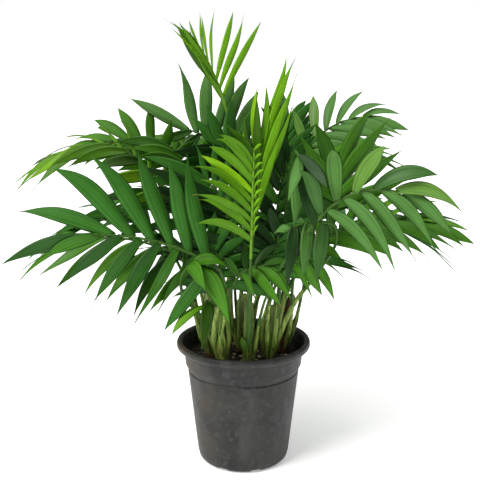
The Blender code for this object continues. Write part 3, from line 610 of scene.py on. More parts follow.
TONES = {
    "deep": (0.027, 0.125, 0.009),
    "mid": (0.042, 0.15, 0.004),
    # The grey tone's greyer green is partly a painted sheen over the blades' own green.
    "grey": (0.062, 0.168, 0.03),
    "bright": (0.08, 0.215, 0.002),
    "lime": (0.128, 0.33, 0.001),
}
# What each shade of green makes of a tone, from dark, a painted shade, to yellowish, a painted light.
PAINTED_SHADES = ((0.27, 0.33, 0.34), (0.66, 0.72, 0.7), (1.08, 1.08, 1.0), (1.62, 1.36, 1.05))
# Material numbers in a leaf piece: the shades of green of the upper side, which paint shade and light, then
# the underside and the dry tip.
UNDER = len(PAINTED_SHADES)
DRY = UNDER + 1
# Odds of the shades for leaflets deep in the crown, mostly dark as painted shade, and out in the light,
# lighter as painted light, and how far out that is.
INNER_ODDS = (0.78, 0.17, 0.04, 0.01)
OUTER_ODDS = (0.08, 0.3, 0.4, 0.22)
INNER_REACH = 0.058
OUTER_REACH = 0.12
# Fronds that hang low in the crown's own shade, painted dark with the odds of the deep leaflets.
SHADED = ("frond_low_centre", "frond_heart_fold")

# Noises: scale, detail, and the two values that become 0 and 1.
LEAF_CLOUD = (45, 3, 0.32, 0.72)
LEAF_GLOSS = (90, 2, 0.3, 0.7)
# Reliefs: strength, and depth in metres.
VEIN_RELIEF = (0.35, 0.00022)
FINE_VEIN_RELIEF = (0.3, 0.00005)
STREAK_RELIEF = (0.25, 0.0012)
MOULD_RELIEF = (0.22, 0.0003)

# Streaks and crumbs: squeeze along Z, detail and the two values, relief, and specular level.
STREAKS = (0.12, (4, 0.35, 0.68), (0.4, 0.0005), 0.25)
CRUMBS = (1.0, (6, 0.4, 0.66), (0.7, 0.0012), 0.5)

LEAF_SPECULAR = 0.2
LEAF_ROUGHNESS = 0.42
ROUGHNESS_SPAN = (-0.06, 0.1)
UNDER_ROUGHNESS = 0.6
UNDER_LIGHTER = 1.12
# The leaf cloud runs from a darker green to a lighter, greyer one: partly random tone, partly a painted
# sheen.
PAINTED_SHEEN_GREY = 0.007
PAINTED_SHEEN_LIGHTER = 1.16
CLOUD_DARKER = 0.76
# Veins: scale and bend of the broad and of the fine ones, and how far they tint the green.
VEINS = ((1.25, 0.6), (3.875, 0.3))
VEIN_TINT = 0.34
# Half the middle rib's width, where it starts to pale and where it is palest, and its lighter green.
MIDRIB = (0.045, 0.012)
MIDRIB_LIGHTER = 1.18
# Other veined skins: colour, roughness and tint.
VEINED_SKINS = {
    "leaf_dry": ((0.2, 0.13, 0.045), 0.6, VEIN_TINT),
    "sheath_green": ((0.085, 0.19, 0.022), 0.5, VEIN_TINT),
    "sheath_pale": ((0.3, 0.4, 0.085), 0.5, VEIN_TINT),
    "sheath_dry": ((0.11, 0.06, 0.028), 0.75, 0.35),
}
# Two-coloured skins: the colours, the noise's scale and the roughness. Stems have streaks, the rest crumbs.
MIXED_SKINS = {
    "stem_pale": ((0.33, 0.42, 0.09), (0.0576, 0.156, 0.0144), 420, 0.5),
    "stem_rib": ((0.048, 0.13, 0.012), (0.0336, 0.091, 0.0084), 420, 0.5),
    "stem_rib_lime": ((0.16, 0.34, 0.02), (0.11, 0.27, 0.02), 420, 0.5),
    "stem_cane": ((0.21, 0.3, 0.07), (0.085, 0.13, 0.032), 420, 0.5),
    "stem_husk": ((0.095, 0.048, 0.022), (0.045, 0.024, 0.014), 420, 0.8),
    # The pot's inside: near black, darker than the soil, a painted shade.
    "pot_inside": ((0.0045, 0.0045, 0.004), (0.012, 0.01, 0.0075), 160, 0.85),
    "soil_crumbs": ((0.01, 0.007, 0.005), (0.03, 0.021, 0.014), 380, 0.95),
    "perlite_cream": ((0.56, 0.47, 0.25), (0.45, 0.36, 0.22), 700, 0.95),
    "perlite_tan": ((0.4, 0.3, 0.15), (0.58, 0.5, 0.32), 700, 0.95),
    "bark_dark": ((0.022, 0.014, 0.009), (0.045, 0.028, 0.016), 500, 0.95),
    "bark_light": ((0.06, 0.038, 0.02), (0.03, 0.02, 0.012), 500, 0.95),
}

PETIOLE_SIDES = 10
PETIOLE_SQUASH = 0.88
PETIOLE_RELIEF = 0.04
SMOOTH_STEPS = 4
# The height under which stalks are pale, how far it varies by stalk, and how ragged its edge is.
PALE_BELOW = 0.19
PALE_SPAN = (-0.045, 0.03)
PALE_EDGE = 0.006
LIME_BELOW_COLLAR = 0.02
# Where a stalk's sheath runs: the share of its cane's height, and of the way out to the stalk's foot.
SHEATH_STATIONS = ((0.04, 0.35), (0.26, 0.75))
SHEATH_RADIUS = 0.0029
SHEATH_FOOT = 0.9
STOUTNESS = (0.62, 1.16)
STALK_SWELL = (1.45, 1.15, 1.0)

CANE_RINGS = 24
CANE_SIDES = 20
CANE_RELIEF = 0.05
CANE_FLARE = 0.3
FLARE_FADE = 14
CANE_TAPER = 0.34
SCARS = 4.5
SCAR_DEPTH = 0.07
SCAR_SHARPNESS = 8
SCAR_JITTER = 0.2
CANE_BROWN_TOP = 0.006
CANE_BROWN_EDGE = 0.003
BROWN_CANES = ("cane_east",)

# Leaf bases round a cane: how many, how they turn and climb, how close they stand, and their sizes.
SHEATHS = 3
SHEATH_TURN = 137.5
SHEATH_CLIMB = (0.02, 0.11)
SHEATH_REACH = (1.25, 0.35)
SHEATH_LEAN = 0.08
SHEATH_BEND = (-0.1, 0.3)
SHEATH_LENGTHS = (0.024, 0.046)
SHEATH_WIDTHS = (1.3, 1.8)
SHEATH_SKINS = ("sheath_green", "sheath_pale", "sheath_dry")
SHEATH_ODDS = (0.55, 0.35, 0.1)

# The pot's finer shape: how its wall wanders, and the rounding of its inside and its outside.
POT_FINE_STEPS = 160
POT_WOBBLE = 0.006
WOBBLE_SCALE = 1.3
WOBBLE_RISE = 9
WOBBLE_FROM = 0.03
INSIDE_ROUNDING = 0.001
OUTSIDE_ROUNDING = 0.0012
ROUND_STEPS = 4
CORNER_SHARE = 0.45
AXIS_RADIUS = 0.0005
DRAIN_REACH = FOOT_RADIUS - 0.004
DRAIN_STEEPNESS = 3.0
# Bands of the inside, next to the lip, that keep the outside's plastic; the inside below them is near black,
# a painted shade.
PLAIN_INSIDE_BANDS = 2

POT_SPECULAR = 0.34
POT_GREY = (0.0092, 0.01024, 0.01024)
# Wear and painted light over the pot's grey, from the plastic out: a noise, and the colour where it is 1.
POT_WEAR = {
    "dust": (24, 8, 0.36, 0.68, (0.036, 0.036, 0.033)),
    "mud_and_painted_light": (22, 4, 0.4, 0.6, (0.072, 0.05, 0.029)),
    "grit": (150, 5, 0.5, 0.74, (0.046, 0.048, 0.046)),
    # Moulded streaks: their relief is real, their lighter grey a painted sheen.
    "streak_and_sheen": (60, 6, 0.5, 0.8, (0.05, 0.052, 0.051)),
    "speck": (230, 1, 0.745, 0.82, (0.12, 0.116, 0.104)),
}
# The mud lies on the pot's left, from and to these places along X; being lighter than the grey, it also
# paints the light on that side.
MUD_AND_PAINTED_LIGHT_SPAN = (-0.02, -0.068)
STREAK_SQUEEZE = 0.22
POT_ROUGHNESS = (0.42, 0.62)
MOULD_GRAIN = {"Scale": 900.0, "Detail": 3.0}

# The soil: rings and steps, its gap to the wall, its lumps as height and scale, and what lies on it.
SOIL_RINGS = 46
SOIL_STEPS = 150
SOIL_GAP = 0.0006
SOIL_SINK = 0.0008
SOIL_LUMPS = ((0.0016, 60), (0.0012, 170), (0.0007, 420))
LITTER = (
    ("perlite", 130, (0.0006, 0.0021), 0.8, ("perlite_cream", "perlite_tan")),
    ("bark_bits", 340, (0.0008, 0.0026), 0.45, ("bark_dark", "bark_light")),
)
LITTER_REACH = COLLAR_RADIUS - 0.008
LITTER_SIT = 0.4
LUMP_LENGTHS = (0.8, 1.5)
LUMP_BREADTHS = (0.6, 1.0)
LUMP_TILT = 0.5
LUMP_ROUGHNESS = 0.35
LUMP_SCALE = 1.6

# The photo's camera, worked out from the pot's outline: place, dip in degrees and focal length in pixels.
IMAGE_PIXELS = 480
FOCAL_PIXELS = 861.3
CENTRE_SHIFT_PIXELS = 3.4
SENSOR = 36.0
CAMERA_PLACE = (0.0, -0.9207, 0.4668)
CAMERA_DIP = 13.03

WHITE = (1.0, 1.0, 1.0)
FLOOR_RADIUS = 14.0
FLOOR_HEIGHT = -0.0004
FLOOR_LOOK = {
    "Base Color": (0.93, 0.93, 0.93),
    "Roughness": 0.9,
    "Emission Color": WHITE,
    "Emission Strength": 0.34,
}
FLOOR_SPECULAR = 0.1
WORLD_GLOW = 0.31
# Where each light comes from, its strength, how wide it is in degrees, and its colour.
LIGHTS = (
    ("key_light", (-0.9, -0.75, 1.35), 2.8, 28.0, (1.0, 0.99, 0.95)),
    ("top_light", (0.2, 0.4, 2.0), 1.4, 60.0, WHITE),
)


def feed(tree, socket, value):
    """Link an output to a socket, or set the socket's own value."""
    if isinstance(value, bpy.types.NodeSocket):
        tree.links.new(value, socket)
    elif socket.type == "RGBA":
        socket.default_value = (*value, 1.0)
    else:
        socket.default_value = value


def node(tree, kind, **settings):
    """A node with its settings; a key that names an input, with _ for a space, feeds that input."""
    made = tree.nodes.new(kind)
    for key, value in settings.items():
        if hasattr(made, key):
            setattr(made, key, value)
        else:
            feed(tree, made.inputs[key.replace("_", " ")], value)
    return made


def maths(tree, operation, *values):
    """The outcome of a sum on outputs or numbers."""
    made = node(tree, "ShaderNodeMath", operation=operation)
    for socket, value in zip(made.inputs, values):
        feed(tree, socket, value)
    return made.outputs["Value"]


def spread(tree, value, low, high, first=0.0, last=1.0):
    """A value spread so that low and high become first and last, with nothing outside."""
    return node(tree, "ShaderNodeMapRange", Value=value, From_Min=low, From_Max=high,
                To_Min=first, To_Max=last).outputs["Result"]


def blend_colours(tree, share, first, second):
    """A mix of two colours or colour outputs by a share."""
    return node(tree, "ShaderNodeMix", data_type="RGBA", Factor=share, A=first, B=second).outputs["Result"]


def scaled(colour, factor, more=0.0):
    """A colour made lighter or darker, with a little more of every channel if asked."""
    return tuple(min(1.0, channel * factor + more) for channel in colour)


def noise_share(tree, vector, scale, detail, low, high):
    """A noise output spread so that low and high become 0 and 1."""
    cloud = node(tree, "ShaderNodeTexNoise", Vector=vector, Scale=scale, Detail=detail)
    return spread(tree, cloud.outputs["Fac"], low, high)


def bump(tree, height, strength, distance, **before):
    """The normal of a relief, laid over another one given as Normal."""
    return node(tree, "ShaderNodeBump", Strength=strength, Distance=distance, Height=height,
                **before).outputs["Normal"]


def stretched(tree, vector, scale):
    """A place squeezed along Z, so that patches draw out to upright streaks."""
    return node(tree, "ShaderNodeMapping", Vector=vector, Scale=(1.0, 1.0, scale)).outputs["Vector"]


def x_of(tree, vector):
    """The first coordinate of a place."""
    return node(tree, "ShaderNodeSeparateXYZ", Vector=vector).outputs["X"]


class Skin:
    """A new material, with its node tree, its main shader and its places."""

    def __init__(self, name, specular):
        self.material = bpy.data.materials.new(name)
        self.material.use_nodes = True
        self.tree = self.material.node_tree
        self.shader = self.tree.nodes["Principled BSDF"]
        self.place = self.tree.nodes.new("ShaderNodeTexCoord").outputs
        self.dress({"Specular IOR Level": specular})

    def dress(self, look):
        """Feed the shader's sockets and give the material."""
        for key, value in look.items():
            feed(self.tree, self.shader.inputs[key], value)
        return self.material

    def finish(self, colour, roughness, normal):
        """Feed the shader's three main sockets and give the material."""
        return self.dress({"Base Color": colour, "Roughness": roughness, "Normal": normal})


def leaf_material(name, colour, roughness, tint=VEIN_TINT):
    """A leaf's skin: cloudy green with patches of painted sheen, fine veins along the blade and a paler
    middle rib.
    """
    skin = Skin(name, LEAF_SPECULAR)
    tree, where, flat = skin.tree, skin.place["Object"], skin.place["UV"]
    cloud = noise_share(tree, where, *LEAF_CLOUD)
    # Painted sheen: the cloud's light end is lighter and greyer than the green.
    body = blend_colours(tree, cloud, scaled(colour, CLOUD_DARKER), scaled(colour, PAINTED_SHEEN_LIGHTER, PAINTED_SHEEN_GREY))
    veins, fine = (node(tree, "ShaderNodeTexWave", bands_direction="X", Vector=flat, Scale=scale,
                        Distortion=bend).outputs["Fac"] for scale, bend in VEINS)
    tinted = blend_colours(tree, veins, scaled(colour, 1 - tint), scaled(colour, 1 + tint))
    halves = blend_colours(tree, 0.5, body, tinted)
    away = maths(tree, "ABSOLUTE", maths(tree, "SUBTRACT", x_of(tree, flat), 0.5))
    final = blend_colours(tree, spread(tree, away, *MIDRIB), halves, scaled(colour, MIDRIB_LIGHTER))
    smooth, dull = (roughness + change for change in ROUGHNESS_SPAN)
    rough = spread(tree, noise_share(tree, where, *LEAF_GLOSS), 0, 1, smooth, dull)
    ridges = bump(tree, veins, *VEIN_RELIEF)
    return skin.finish(final, rough, bump(tree, fine, *FINE_VEIN_RELIEF, Normal=ridges))


def tone_materials(tone, dry):
    """The skins of a leaf piece: each shade of the upper side, from painted shade to painted light, the
    underside and the dry tip.
    """
    colour = TONES[tone]
    skins = []
    for index, shade in enumerate(PAINTED_SHADES):
        tinted = tuple(channel * part for channel, part in zip(colour, shade))
        skins.append(leaf_material(f"leaf_{tone}_{index + 1}", tinted, LEAF_ROUGHNESS))
    under = leaf_material(f"leaf_{tone}_under", scaled(colour, UNDER_LIGHTER), UNDER_ROUGHNESS)
    return skins + [under, dry]


def mixed_material(name, first, second, scale, roughness):
    """Two colours in long streaks or in crumbs, over a relief of the same pattern."""
    squeeze, clouds, relief, specular = STREAKS if name.startswith("stem") else CRUMBS
    skin = Skin(name, specular)
    tree = skin.tree
    share = noise_share(tree, stretched(tree, skin.place["Object"], squeeze), scale, *clouds)
    return skin.finish(blend_colours(tree, share, first, second), roughness, bump(tree, share, *relief))


def pot_material():
    """Worn grey plastic: dusty, muddy and painted lighter on the left, streaked with a painted sheen,
    specked, with a fine moulded grain.
    """
    skin = Skin("pot_plastic", POT_SPECULAR)
    tree, where = skin.tree, skin.place["Object"]
    colour = POT_GREY
    shares = {}
    for kind, (*clouds, wear) in POT_WEAR.items():
        place = stretched(tree, where, STREAK_SQUEEZE) if kind == "streak_and_sheen" else where
        share = noise_share(tree, place, *clouds)
        # Painted light: the mud's lighter colour grows towards the pot's left.
        if kind == "mud_and_painted_light":
            share = maths(tree, "MULTIPLY", spread(tree, x_of(tree, where), *MUD_AND_PAINTED_LIGHT_SPAN), share)
        shares[kind] = share
        colour = blend_colours(tree, share, colour, wear)
    mould = node(tree, "ShaderNodeTexNoise", Vector=where, **MOULD_GRAIN).outputs["Fac"]
    grain = bump(tree, mould, *MOULD_RELIEF)
    return skin.finish(colour, spread(tree, shares["dust"], 0, 1, *POT_ROUGHNESS),
                       bump(tree, shares["streak_and_sheen"], *STREAK_RELIEF, Normal=grain))


def show(name, data):
    """A new object in the scene that holds these data."""
    item = bpy.data.objects.new(name, data)
    bpy.context.scene.collection.objects.link(item)
    return item


class Pile:
    """Meshes gathered for one piece, with a material number per face and flat coordinates per point."""

    def __init__(self, *first):
        self.points = []
        self.faces = []
        self.kinds = []
        self.flats = []
        if first:
            self.add(*first)

    def add(self, points, faces, kinds, flats=None):
        """Add a mesh; flats holds one (u, v) for each of its points."""
        start = len(self.points)
        self.points += [tuple(point) for point in points]
        self.flats += flats if flats else [(0.5, 0.5)] * len(points)
        self.faces += [tuple(start + corner for corner in face) for face in faces]
        self.kinds += kinds

    def piece(self, name, materials, slot, stood_for=None):
        """Make the smooth mesh object under its body, and hide the node that it stands for; slot is not used.
        """
        mesh = bpy.data.meshes.new(name)
        mesh.from_pydata(self.points, [], self.faces)
        for material in materials:
            mesh.materials.append(material)
        mesh.polygons.foreach_set("material_index", self.kinds)
        mesh.polygons.foreach_set("use_smooth", [True] * len(self.faces))
        layer = mesh.uv_layers.new(name="UVMap")
        corners = [0] * len(mesh.loops)
        mesh.loops.foreach_get("vertex_index", corners)
        layer.data.foreach_set("uv", [value for corner in corners for value in self.flats[corner]])
        mesh.update()
        piece = show(name, mesh)
        if stood_for:
            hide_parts(stood_for)
        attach(piece, "root")


def outline_share(u, taper):
    """Width of a leaflet along its length, as a share of its greatest width, drawn out to a long tip."""
    if u < WIDEST:
        return ROOT_WIDTH + (1 - ROOT_WIDTH) * math.sin(math.pi / 2 * u / WIDEST) ** ROOT_CURVE
    past = min(1.0, (u - WIDEST) / (1 - WIDEST))
    return max(THREAD_WIDTH, (1 - past**taper) * (1 - TIP_PINCH * past**3))


def hung_at(leaf, u, form):
    """Middle of a blade at u after it has fallen and wandered, with its width and its upper side."""
    middle, _, across, normal = blade_at(leaf, u)
    aside = form["wander"] * math.sin(form["wave"] * u) * u
    return middle + (across * aside - UP * (form["fall"] * u**3)) * leaf.length, across, normal


def blade_ring(leaf, u, form):
    """Points across the upper side of a blade at u, and those under them, without the two edges."""
    middle, across, normal = hung_at(leaf, u, form)
    middle = middle + normal * (leaf.length * form["arch"] * math.sin(math.pi * u))
    half = leaf.width / 2 * FULLNESS * outline_share(u, form["taper"])
    keel_low, keel_high = form["keel"]
    keel = math.radians(keel_low + (keel_high - keel_low) * min(1.0, u * KEEL_PACE))
    roll = math.radians(form["roll"]) * u * u
    across, normal = (across * math.cos(roll) + normal * math.sin(roll),
                      normal * math.cos(roll) - across * math.sin(roll))
    upper, under = [], []
    for step in range(BLADE_ACROSS):
        v = 2 * step / (BLADE_ACROSS - 1) - 1
        lift = abs(v) ** FOLD * half * math.sin(keel) + PLEAT_DEPTH * math.cos(math.pi * PLEATS * v)
        point = middle + across * (v * half * math.cos(keel)) + normal * lift
        upper.append(point)
        if abs(v) < 1:
            under.append(point - normal * (BLADE_THICKNESS * (1 - v * v) ** 0.5))
    return upper, under


def fine_blade(leaf, rule, keel, shaded=False):
    """Points, faces, material numbers and flat coordinates of one leaflet as a closed, folded blade."""
    # Painted shade and light: leaflets near the pot's axis, and all of a shaded frond, mostly take dark
    # shades; those further out take lighter ones.
    out = (leaf.root.xy.length + leaf.length * 0.3 - INNER_REACH) / (OUTER_REACH - INNER_REACH)
    out = 0.0 if shaded else min(1.0, max(0.0, out))
    odds = [a + (b - a) * out for a, b in zip(INNER_ODDS, OUTER_ODDS)]
    shade = rule.choices(range(len(odds)), odds)[0]
    dry = rule.random() < DRY_SHARE
    form = {key: rule.uniform(*span) for key, span in BLADE_ODDS.items()}
    form["fall"] *= leaf.heading.xy.length
    form["keel"] = keel
    reach = 1 + (rule.uniform(*THREADS) if dry else 0.0)
    last = BLADE_ACROSS - 1
    round_it = [*range(BLADE_ACROSS), *range(last - 1, 0, -1)]
    size = len(round_it)
    points, flats, kinds = [], [], []
    for ring in range(BLADE_RINGS):
        u = reach * ring / BLADE_RINGS
        upper, under = blade_ring(leaf, u, form)
        points += upper + under[::-1]
        flats += [(step / last, u) for step in round_it]
        withered = dry and u >= DRY_FROM
        kinds += [DRY if withered else shade] * last + [DRY if withered else UNDER] * (size - last)
    tip = len(points)
    points.append(hung_at(leaf, reach, form)[0])
    flats.append((0.5, 1.0))
    rim = tip - size
    faces = walls(BLADE_RINGS, size) + [(rim + place, rim + (place + 1) % size, tip) for place in range(size)]
    faces.append(tuple(reversed(range(size))))
    kinds.append(UNDER)
    return points, faces, kinds, flats


def smooth_line(points, radii):
    """A finer line through points, with its radii, by Catmull-Rom pieces."""
    fine, sizes = [], []
    for index in range(len(points) - 1):
        before = points[max(index - 1, 0)]
        start, end = points[index], points[index + 1]
        after = points[min(index + 2, len(points) - 1)]
        for step in range(SMOOTH_STEPS):
            t = step / SMOOTH_STEPS
            fine.append(hermite(start, (end - before) / 2, end, (after - start) / 2, t))
            sizes.append(radii[index] + (radii[index + 1] - radii[index]) * t)
    return fine + [points[-1]], sizes + [radii[-1]]


def round_tube(points, radii, sides, kind_of, relief, rule, squash=1.0):
    """A closed tube with soft ends; kind_of gives the material number of each face."""
    ring_points = []
    side = square_to(ODD_AXIS, (points[1] - points[0]).normalized())
    for index, (point, radius) in enumerate(zip(points, radii)):
        along = way_at(points, index)
        side = square_to(side, along)
        other = along.cross(side)
        for step in range(sides):
            angle = 2 * math.pi * step / sides
            size = radius * (1 + rule.uniform(-relief, relief))
            ring_points.append(point + side * (math.cos(angle) * size)
                               + other * (math.sin(angle) * size * squash))
    faces = walls(len(points), sides)
    kinds = [kind_of(point) for point in points[:-1] for _ in range(sides)]
    first = len(ring_points)
    top = first - sides
    ring_points += [points[0], points[-1] + (points[-1] - points[-2]).normalized() * radii[-1]]
    for step in range(sides):
        after = (step + 1) % sides
        faces += [(first, after, step), (first + 1, top + step, top + after)]
        kinds += [kind_of(points[0]), kind_of(points[-1])]
    return ring_points, faces, kinds


def build_leaves(frond, leaves, materials):
    """The frond's leaflets as one piece."""
    pile = Pile()
    rule = random.Random(frond.name + " blades")
    for leaf in leaves:
        keel = YOUNG_KEEL if leaf.width < YOUNG_WIDTH else LEAF_KEEL
        pile.add(*fine_blade(leaf, rule, keel, frond.name in SHADED))
    pile.piece(frond.name + "_leaflets", materials, "leaf_" + frond.tone, frond.name)


def build_rib(frond, cane, line, skins):
    """The frond's stalk and rib: a sheath that clasps its cane, a round stalk and a thin rib."""
    points, radii = line
    outward = points[0] - cane_point(cane, STALK_SHARE)
    sheath = [cane_point(cane, share) + outward * part for share, part in SHEATH_STATIONS]
    rule = random.Random(frond.name + " rib")
    stout = rule.uniform(*STOUTNESS)
    stalk = [radius * swell * stout for radius, swell in zip(radii, STALK_SWELL)]
    radii = [SHEATH_RADIUS * SHEATH_FOOT, SHEATH_RADIUS] + stalk + radii[len(stalk):]
    points, radii = smooth_line(sheath + points, radii)
    pale_top = PALE_BELOW + rule.uniform(*PALE_SPAN)

    def kind_of(point):
        if point.z + rule.uniform(-PALE_EDGE, PALE_EDGE) < pale_top:
            return 0
        return 2 if point.z > frond.collar[2] - LIME_BELOW_COLLAR else 1

    top = "stem_rib_lime" if frond.tone == "lime" else "stem_rib"
    pile = Pile(*round_tube(points, radii, PETIOLE_SIDES, kind_of, PETIOLE_RELIEF, rule, PETIOLE_SQUASH))
    pile.piece(frond.name + "_rib", [skins[name] for name in ("stem_pale", "stem_rib", top)], "stem")


def build_cane(cane, skins):
    """A short cane with a flared foot and ring scars, brown at the soil."""
    shares = [step / CANE_RINGS for step in range(CANE_RINGS + 1)]
    points = [cane_point(cane, share) for share in shares]
    rule = random.Random(cane.name)
    radii = []
    for share in shares:
        flare = CANE_FLARE * math.exp(-share * FLARE_FADE)
        taper = 1.0 - CANE_TAPER * share**2
        turn = share * 2 * math.pi * SCARS + rule.uniform(-SCAR_JITTER, SCAR_JITTER)
        scar = SCAR_DEPTH * max(0.0, math.cos(turn)) ** SCAR_SHARPNESS
        radii.append(cane.radius * (taper + flare + scar))
    brown_top = SOIL_TOP + CANE_BROWN_TOP

    def kind_of(point):
        if cane.name in BROWN_CANES:
            return 1
        return 0 if point.z > brown_top + rule.uniform(-CANE_BROWN_EDGE, CANE_BROWN_EDGE) else 1

    pile = Pile(*round_tube(points, radii, CANE_SIDES, kind_of, CANE_RELIEF, rule))
    pile.piece(cane.name + "_bark", [skins["stem_cane"], skins["stem_husk"]], "stem", cane.name)


def build_sheaths(cane, skins):
    """Old leaf bases that clasp a cane, pointed at the top, some green and some dry."""
    rule = random.Random(cane.name + " sheaths")
    up = Vector((*cane.lean, cane.rise)).normalized()
    pile = Pile()
    first = rule.uniform(0, 360)
    for index in range(SHEATHS):
        out = polar(first + SHEATH_TURN * index, 1.0, 0.0)
        share = SHEATH_CLIMB[0] + SHEATH_CLIMB[1] * index
        root = cane_point(cane, share) + out * (cane.radius * (SHEATH_REACH[0] - SHEATH_REACH[1] * share))
        leaf = Leaf(root, (up + out * SHEATH_LEAN).normalized(), out * rule.uniform(*SHEATH_BEND),
                    up.cross(out), rule.uniform(*SHEATH_LENGTHS),
                    cane.radius * rule.uniform(*SHEATH_WIDTHS), 0.0)
        points, faces, _, flats = fine_blade(leaf, rule, SHEATH_KEEL)
        stuff = 2 if cane.name in BROWN_CANES else rule.choices((0, 1, 2), SHEATH_ODDS)[0]
        pile.add(points, faces, [stuff] * len(faces), flats)
    pile.piece(cane.name + "_sheaths", [skins[name] for name in SHEATH_SKINS], "stem")


def rounded(profile, radius):
    """A profile with each inner corner rounded off."""
    smooth = [profile[0]]
    for before, corner, after in zip(profile, profile[1:], profile[2:]):
        middle = Vector(corner)
        ends = []
        for other in (before, after):
            way = Vector(other) - middle
            ends.append(middle + way.normalized() * min(radius, way.length * CORNER_SHARE))
        for step in range(ROUND_STEPS + 1):
            smooth.append(tuple(quadratic(ends[0], middle, ends[1], step / ROUND_STEPS)))
    return smooth + [profile[-1]]


def worn(point):
    """A point of the pot lifted into a drain notch and moved as its thin wall wanders."""
    bearing = math.atan2(point.y, point.x)
    if point.z < DRAIN_HEIGHT and point.xy.length > DRAIN_REACH:
        for index in range(DRAIN_COUNT):
            middle = math.radians(360 * (index + 0.5) / DRAIN_COUNT + DRAIN_TURN)
            off = abs((bearing - middle + math.pi) % (2 * math.pi) - math.pi) * HEEL_RADIUS
            if off < DRAIN_WIDTH / 2:
                arch = min(1.0, (1 - off / (DRAIN_WIDTH / 2)) * DRAIN_STEEPNESS)
                point.z += (DRAIN_HEIGHT - point.z) * arch
    place = Vector((math.cos(bearing), math.sin(bearing), point.z * WOBBLE_RISE))
    swell = 1 + POT_WOBBLE * noise.noise(place * WOBBLE_SCALE) * min(1.0, point.z / WOBBLE_FROM)
    return Vector((point.x * swell, point.y * swell, point.z))


def build_pot(skins):
    """The pot: rolled lip, collar, ring line, tapered body, rounded foot and drain notches."""
    lip_foot = POT_HEIGHT - LIP_DEPTH
    inside = rounded([
        (AXIS_RADIUS, FLOOR), (FOOT_RADIUS, FLOOR), (HEEL_RADIUS - WALL, HEEL_HEIGHT),
        (STEP_RADIUS - WALL, STEP_HEIGHT), (COLLAR_FOOT_RADIUS - WALL, COLLAR_FOOT),
        (COLLAR_RADIUS - WALL, lip_foot - 0.002), (LIP_INNER_RADIUS - 0.0004, POT_HEIGHT - 0.0035),
        (LIP_INNER_RADIUS + 0.0012, POT_HEIGHT),
    ], INSIDE_ROUNDING)
    outside = rounded([
        (LIP_RADIUS - 0.0012, POT_HEIGHT), (LIP_RADIUS, POT_HEIGHT - 0.0022),
        (LIP_RADIUS, lip_foot + 0.003), (LIP_RADIUS - 0.0026, lip_foot + 0.0004),
        (COLLAR_RADIUS + 0.0006, lip_foot), (COLLAR_RADIUS, lip_foot - 0.0022),
        (COLLAR_FOOT_RADIUS, COLLAR_FOOT), (COLLAR_FOOT_RADIUS - 0.0016, COLLAR_FOOT - 0.0014),
        (STEP_RADIUS + 0.0002, STEP_HEIGHT + 0.0016), (STEP_RADIUS - 0.0009, STEP_HEIGHT + 0.0008),
        (STEP_RADIUS - 0.0009, STEP_HEIGHT - 0.0002), (STEP_RADIUS, STEP_HEIGHT - 0.001),
        (HEEL_RADIUS, HEEL_HEIGHT), (HEEL_RADIUS - 0.0016, HEEL_HEIGHT / 3), (FOOT_RADIUS, 0.0),
        (AXIS_RADIUS, 0.0),
    ], OUTSIDE_ROUNDING)
    steps = POT_FINE_STEPS
    profile = inside + outside
    points = [worn(point) for point in turned_points(profile, steps)]
    faces = inside_out(walls(len(profile), steps))
    rim = len(points) - steps
    faces += [tuple(range(steps)), tuple(reversed(range(rim, rim + steps)))]
    # Painted shade: faces of the inside below the plain bands take the near-black skin.
    painted_shade_faces = steps * (len(inside) - 1 - PLAIN_INSIDE_BANDS)
    kinds = [1] * painted_shade_faces + [0] * (len(faces) - painted_shade_faces)
    Pile(points, faces, kinds).piece("pot_shell", [pot_material(), skins["pot_inside"]], "pot", "pot")


def soil_height(x, y):
    """Height of the rough soil at a place."""
    place = Vector((x, y, 0))
    return SOIL_TOP - SOIL_SINK + sum(size * noise.noise(place * scale) for size, scale in SOIL_LUMPS)


def on_soil(angle, reach, above=0.0):
    """Point on the rough soil, or above it, at an angle in radians and a distance from the axis."""
    x, y = reach * math.cos(angle), reach * math.sin(angle)
    return Vector((x, y, soil_height(x, y) + above))


def build_soil(skins):
    """The soil: a rough, crumbly top over a plain root ball."""
    edge = COLLAR_RADIUS - WALL - SOIL_GAP
    points = [Vector((0, 0, soil_height(0, 0)))]
    for ring in range(1, SOIL_RINGS + 1):
        for step in range(SOIL_STEPS):
            angle = 2 * math.pi * (step + 0.5 * (ring % 2)) / SOIL_STEPS
            points.append(on_soil(angle, edge * ring / SOIL_RINGS))
    skirt = (
        (STEP_RADIUS - WALL - SOIL_GAP, STEP_HEIGHT),
        (HEEL_RADIUS - WALL - SOIL_GAP, HEEL_HEIGHT + 0.001),
        (FOOT_RADIUS - SOIL_GAP, FLOOR + SOIL_GAP),
    )
    points += turned_points(skirt, SOIL_STEPS)
    faces = [(0, 1 + step, 1 + (step + 1) % SOIL_STEPS) for step in range(SOIL_STEPS)]
    faces += inside_out(walls(SOIL_RINGS + len(skirt), SOIL_STEPS, 1))
    faces.append(tuple(reversed(range(len(points) - SOIL_STEPS, len(points)))))
    Pile(points, faces, [0] * len(faces)).piece("soil_bed", [skins["soil_crumbs"]], "soil", "soil")


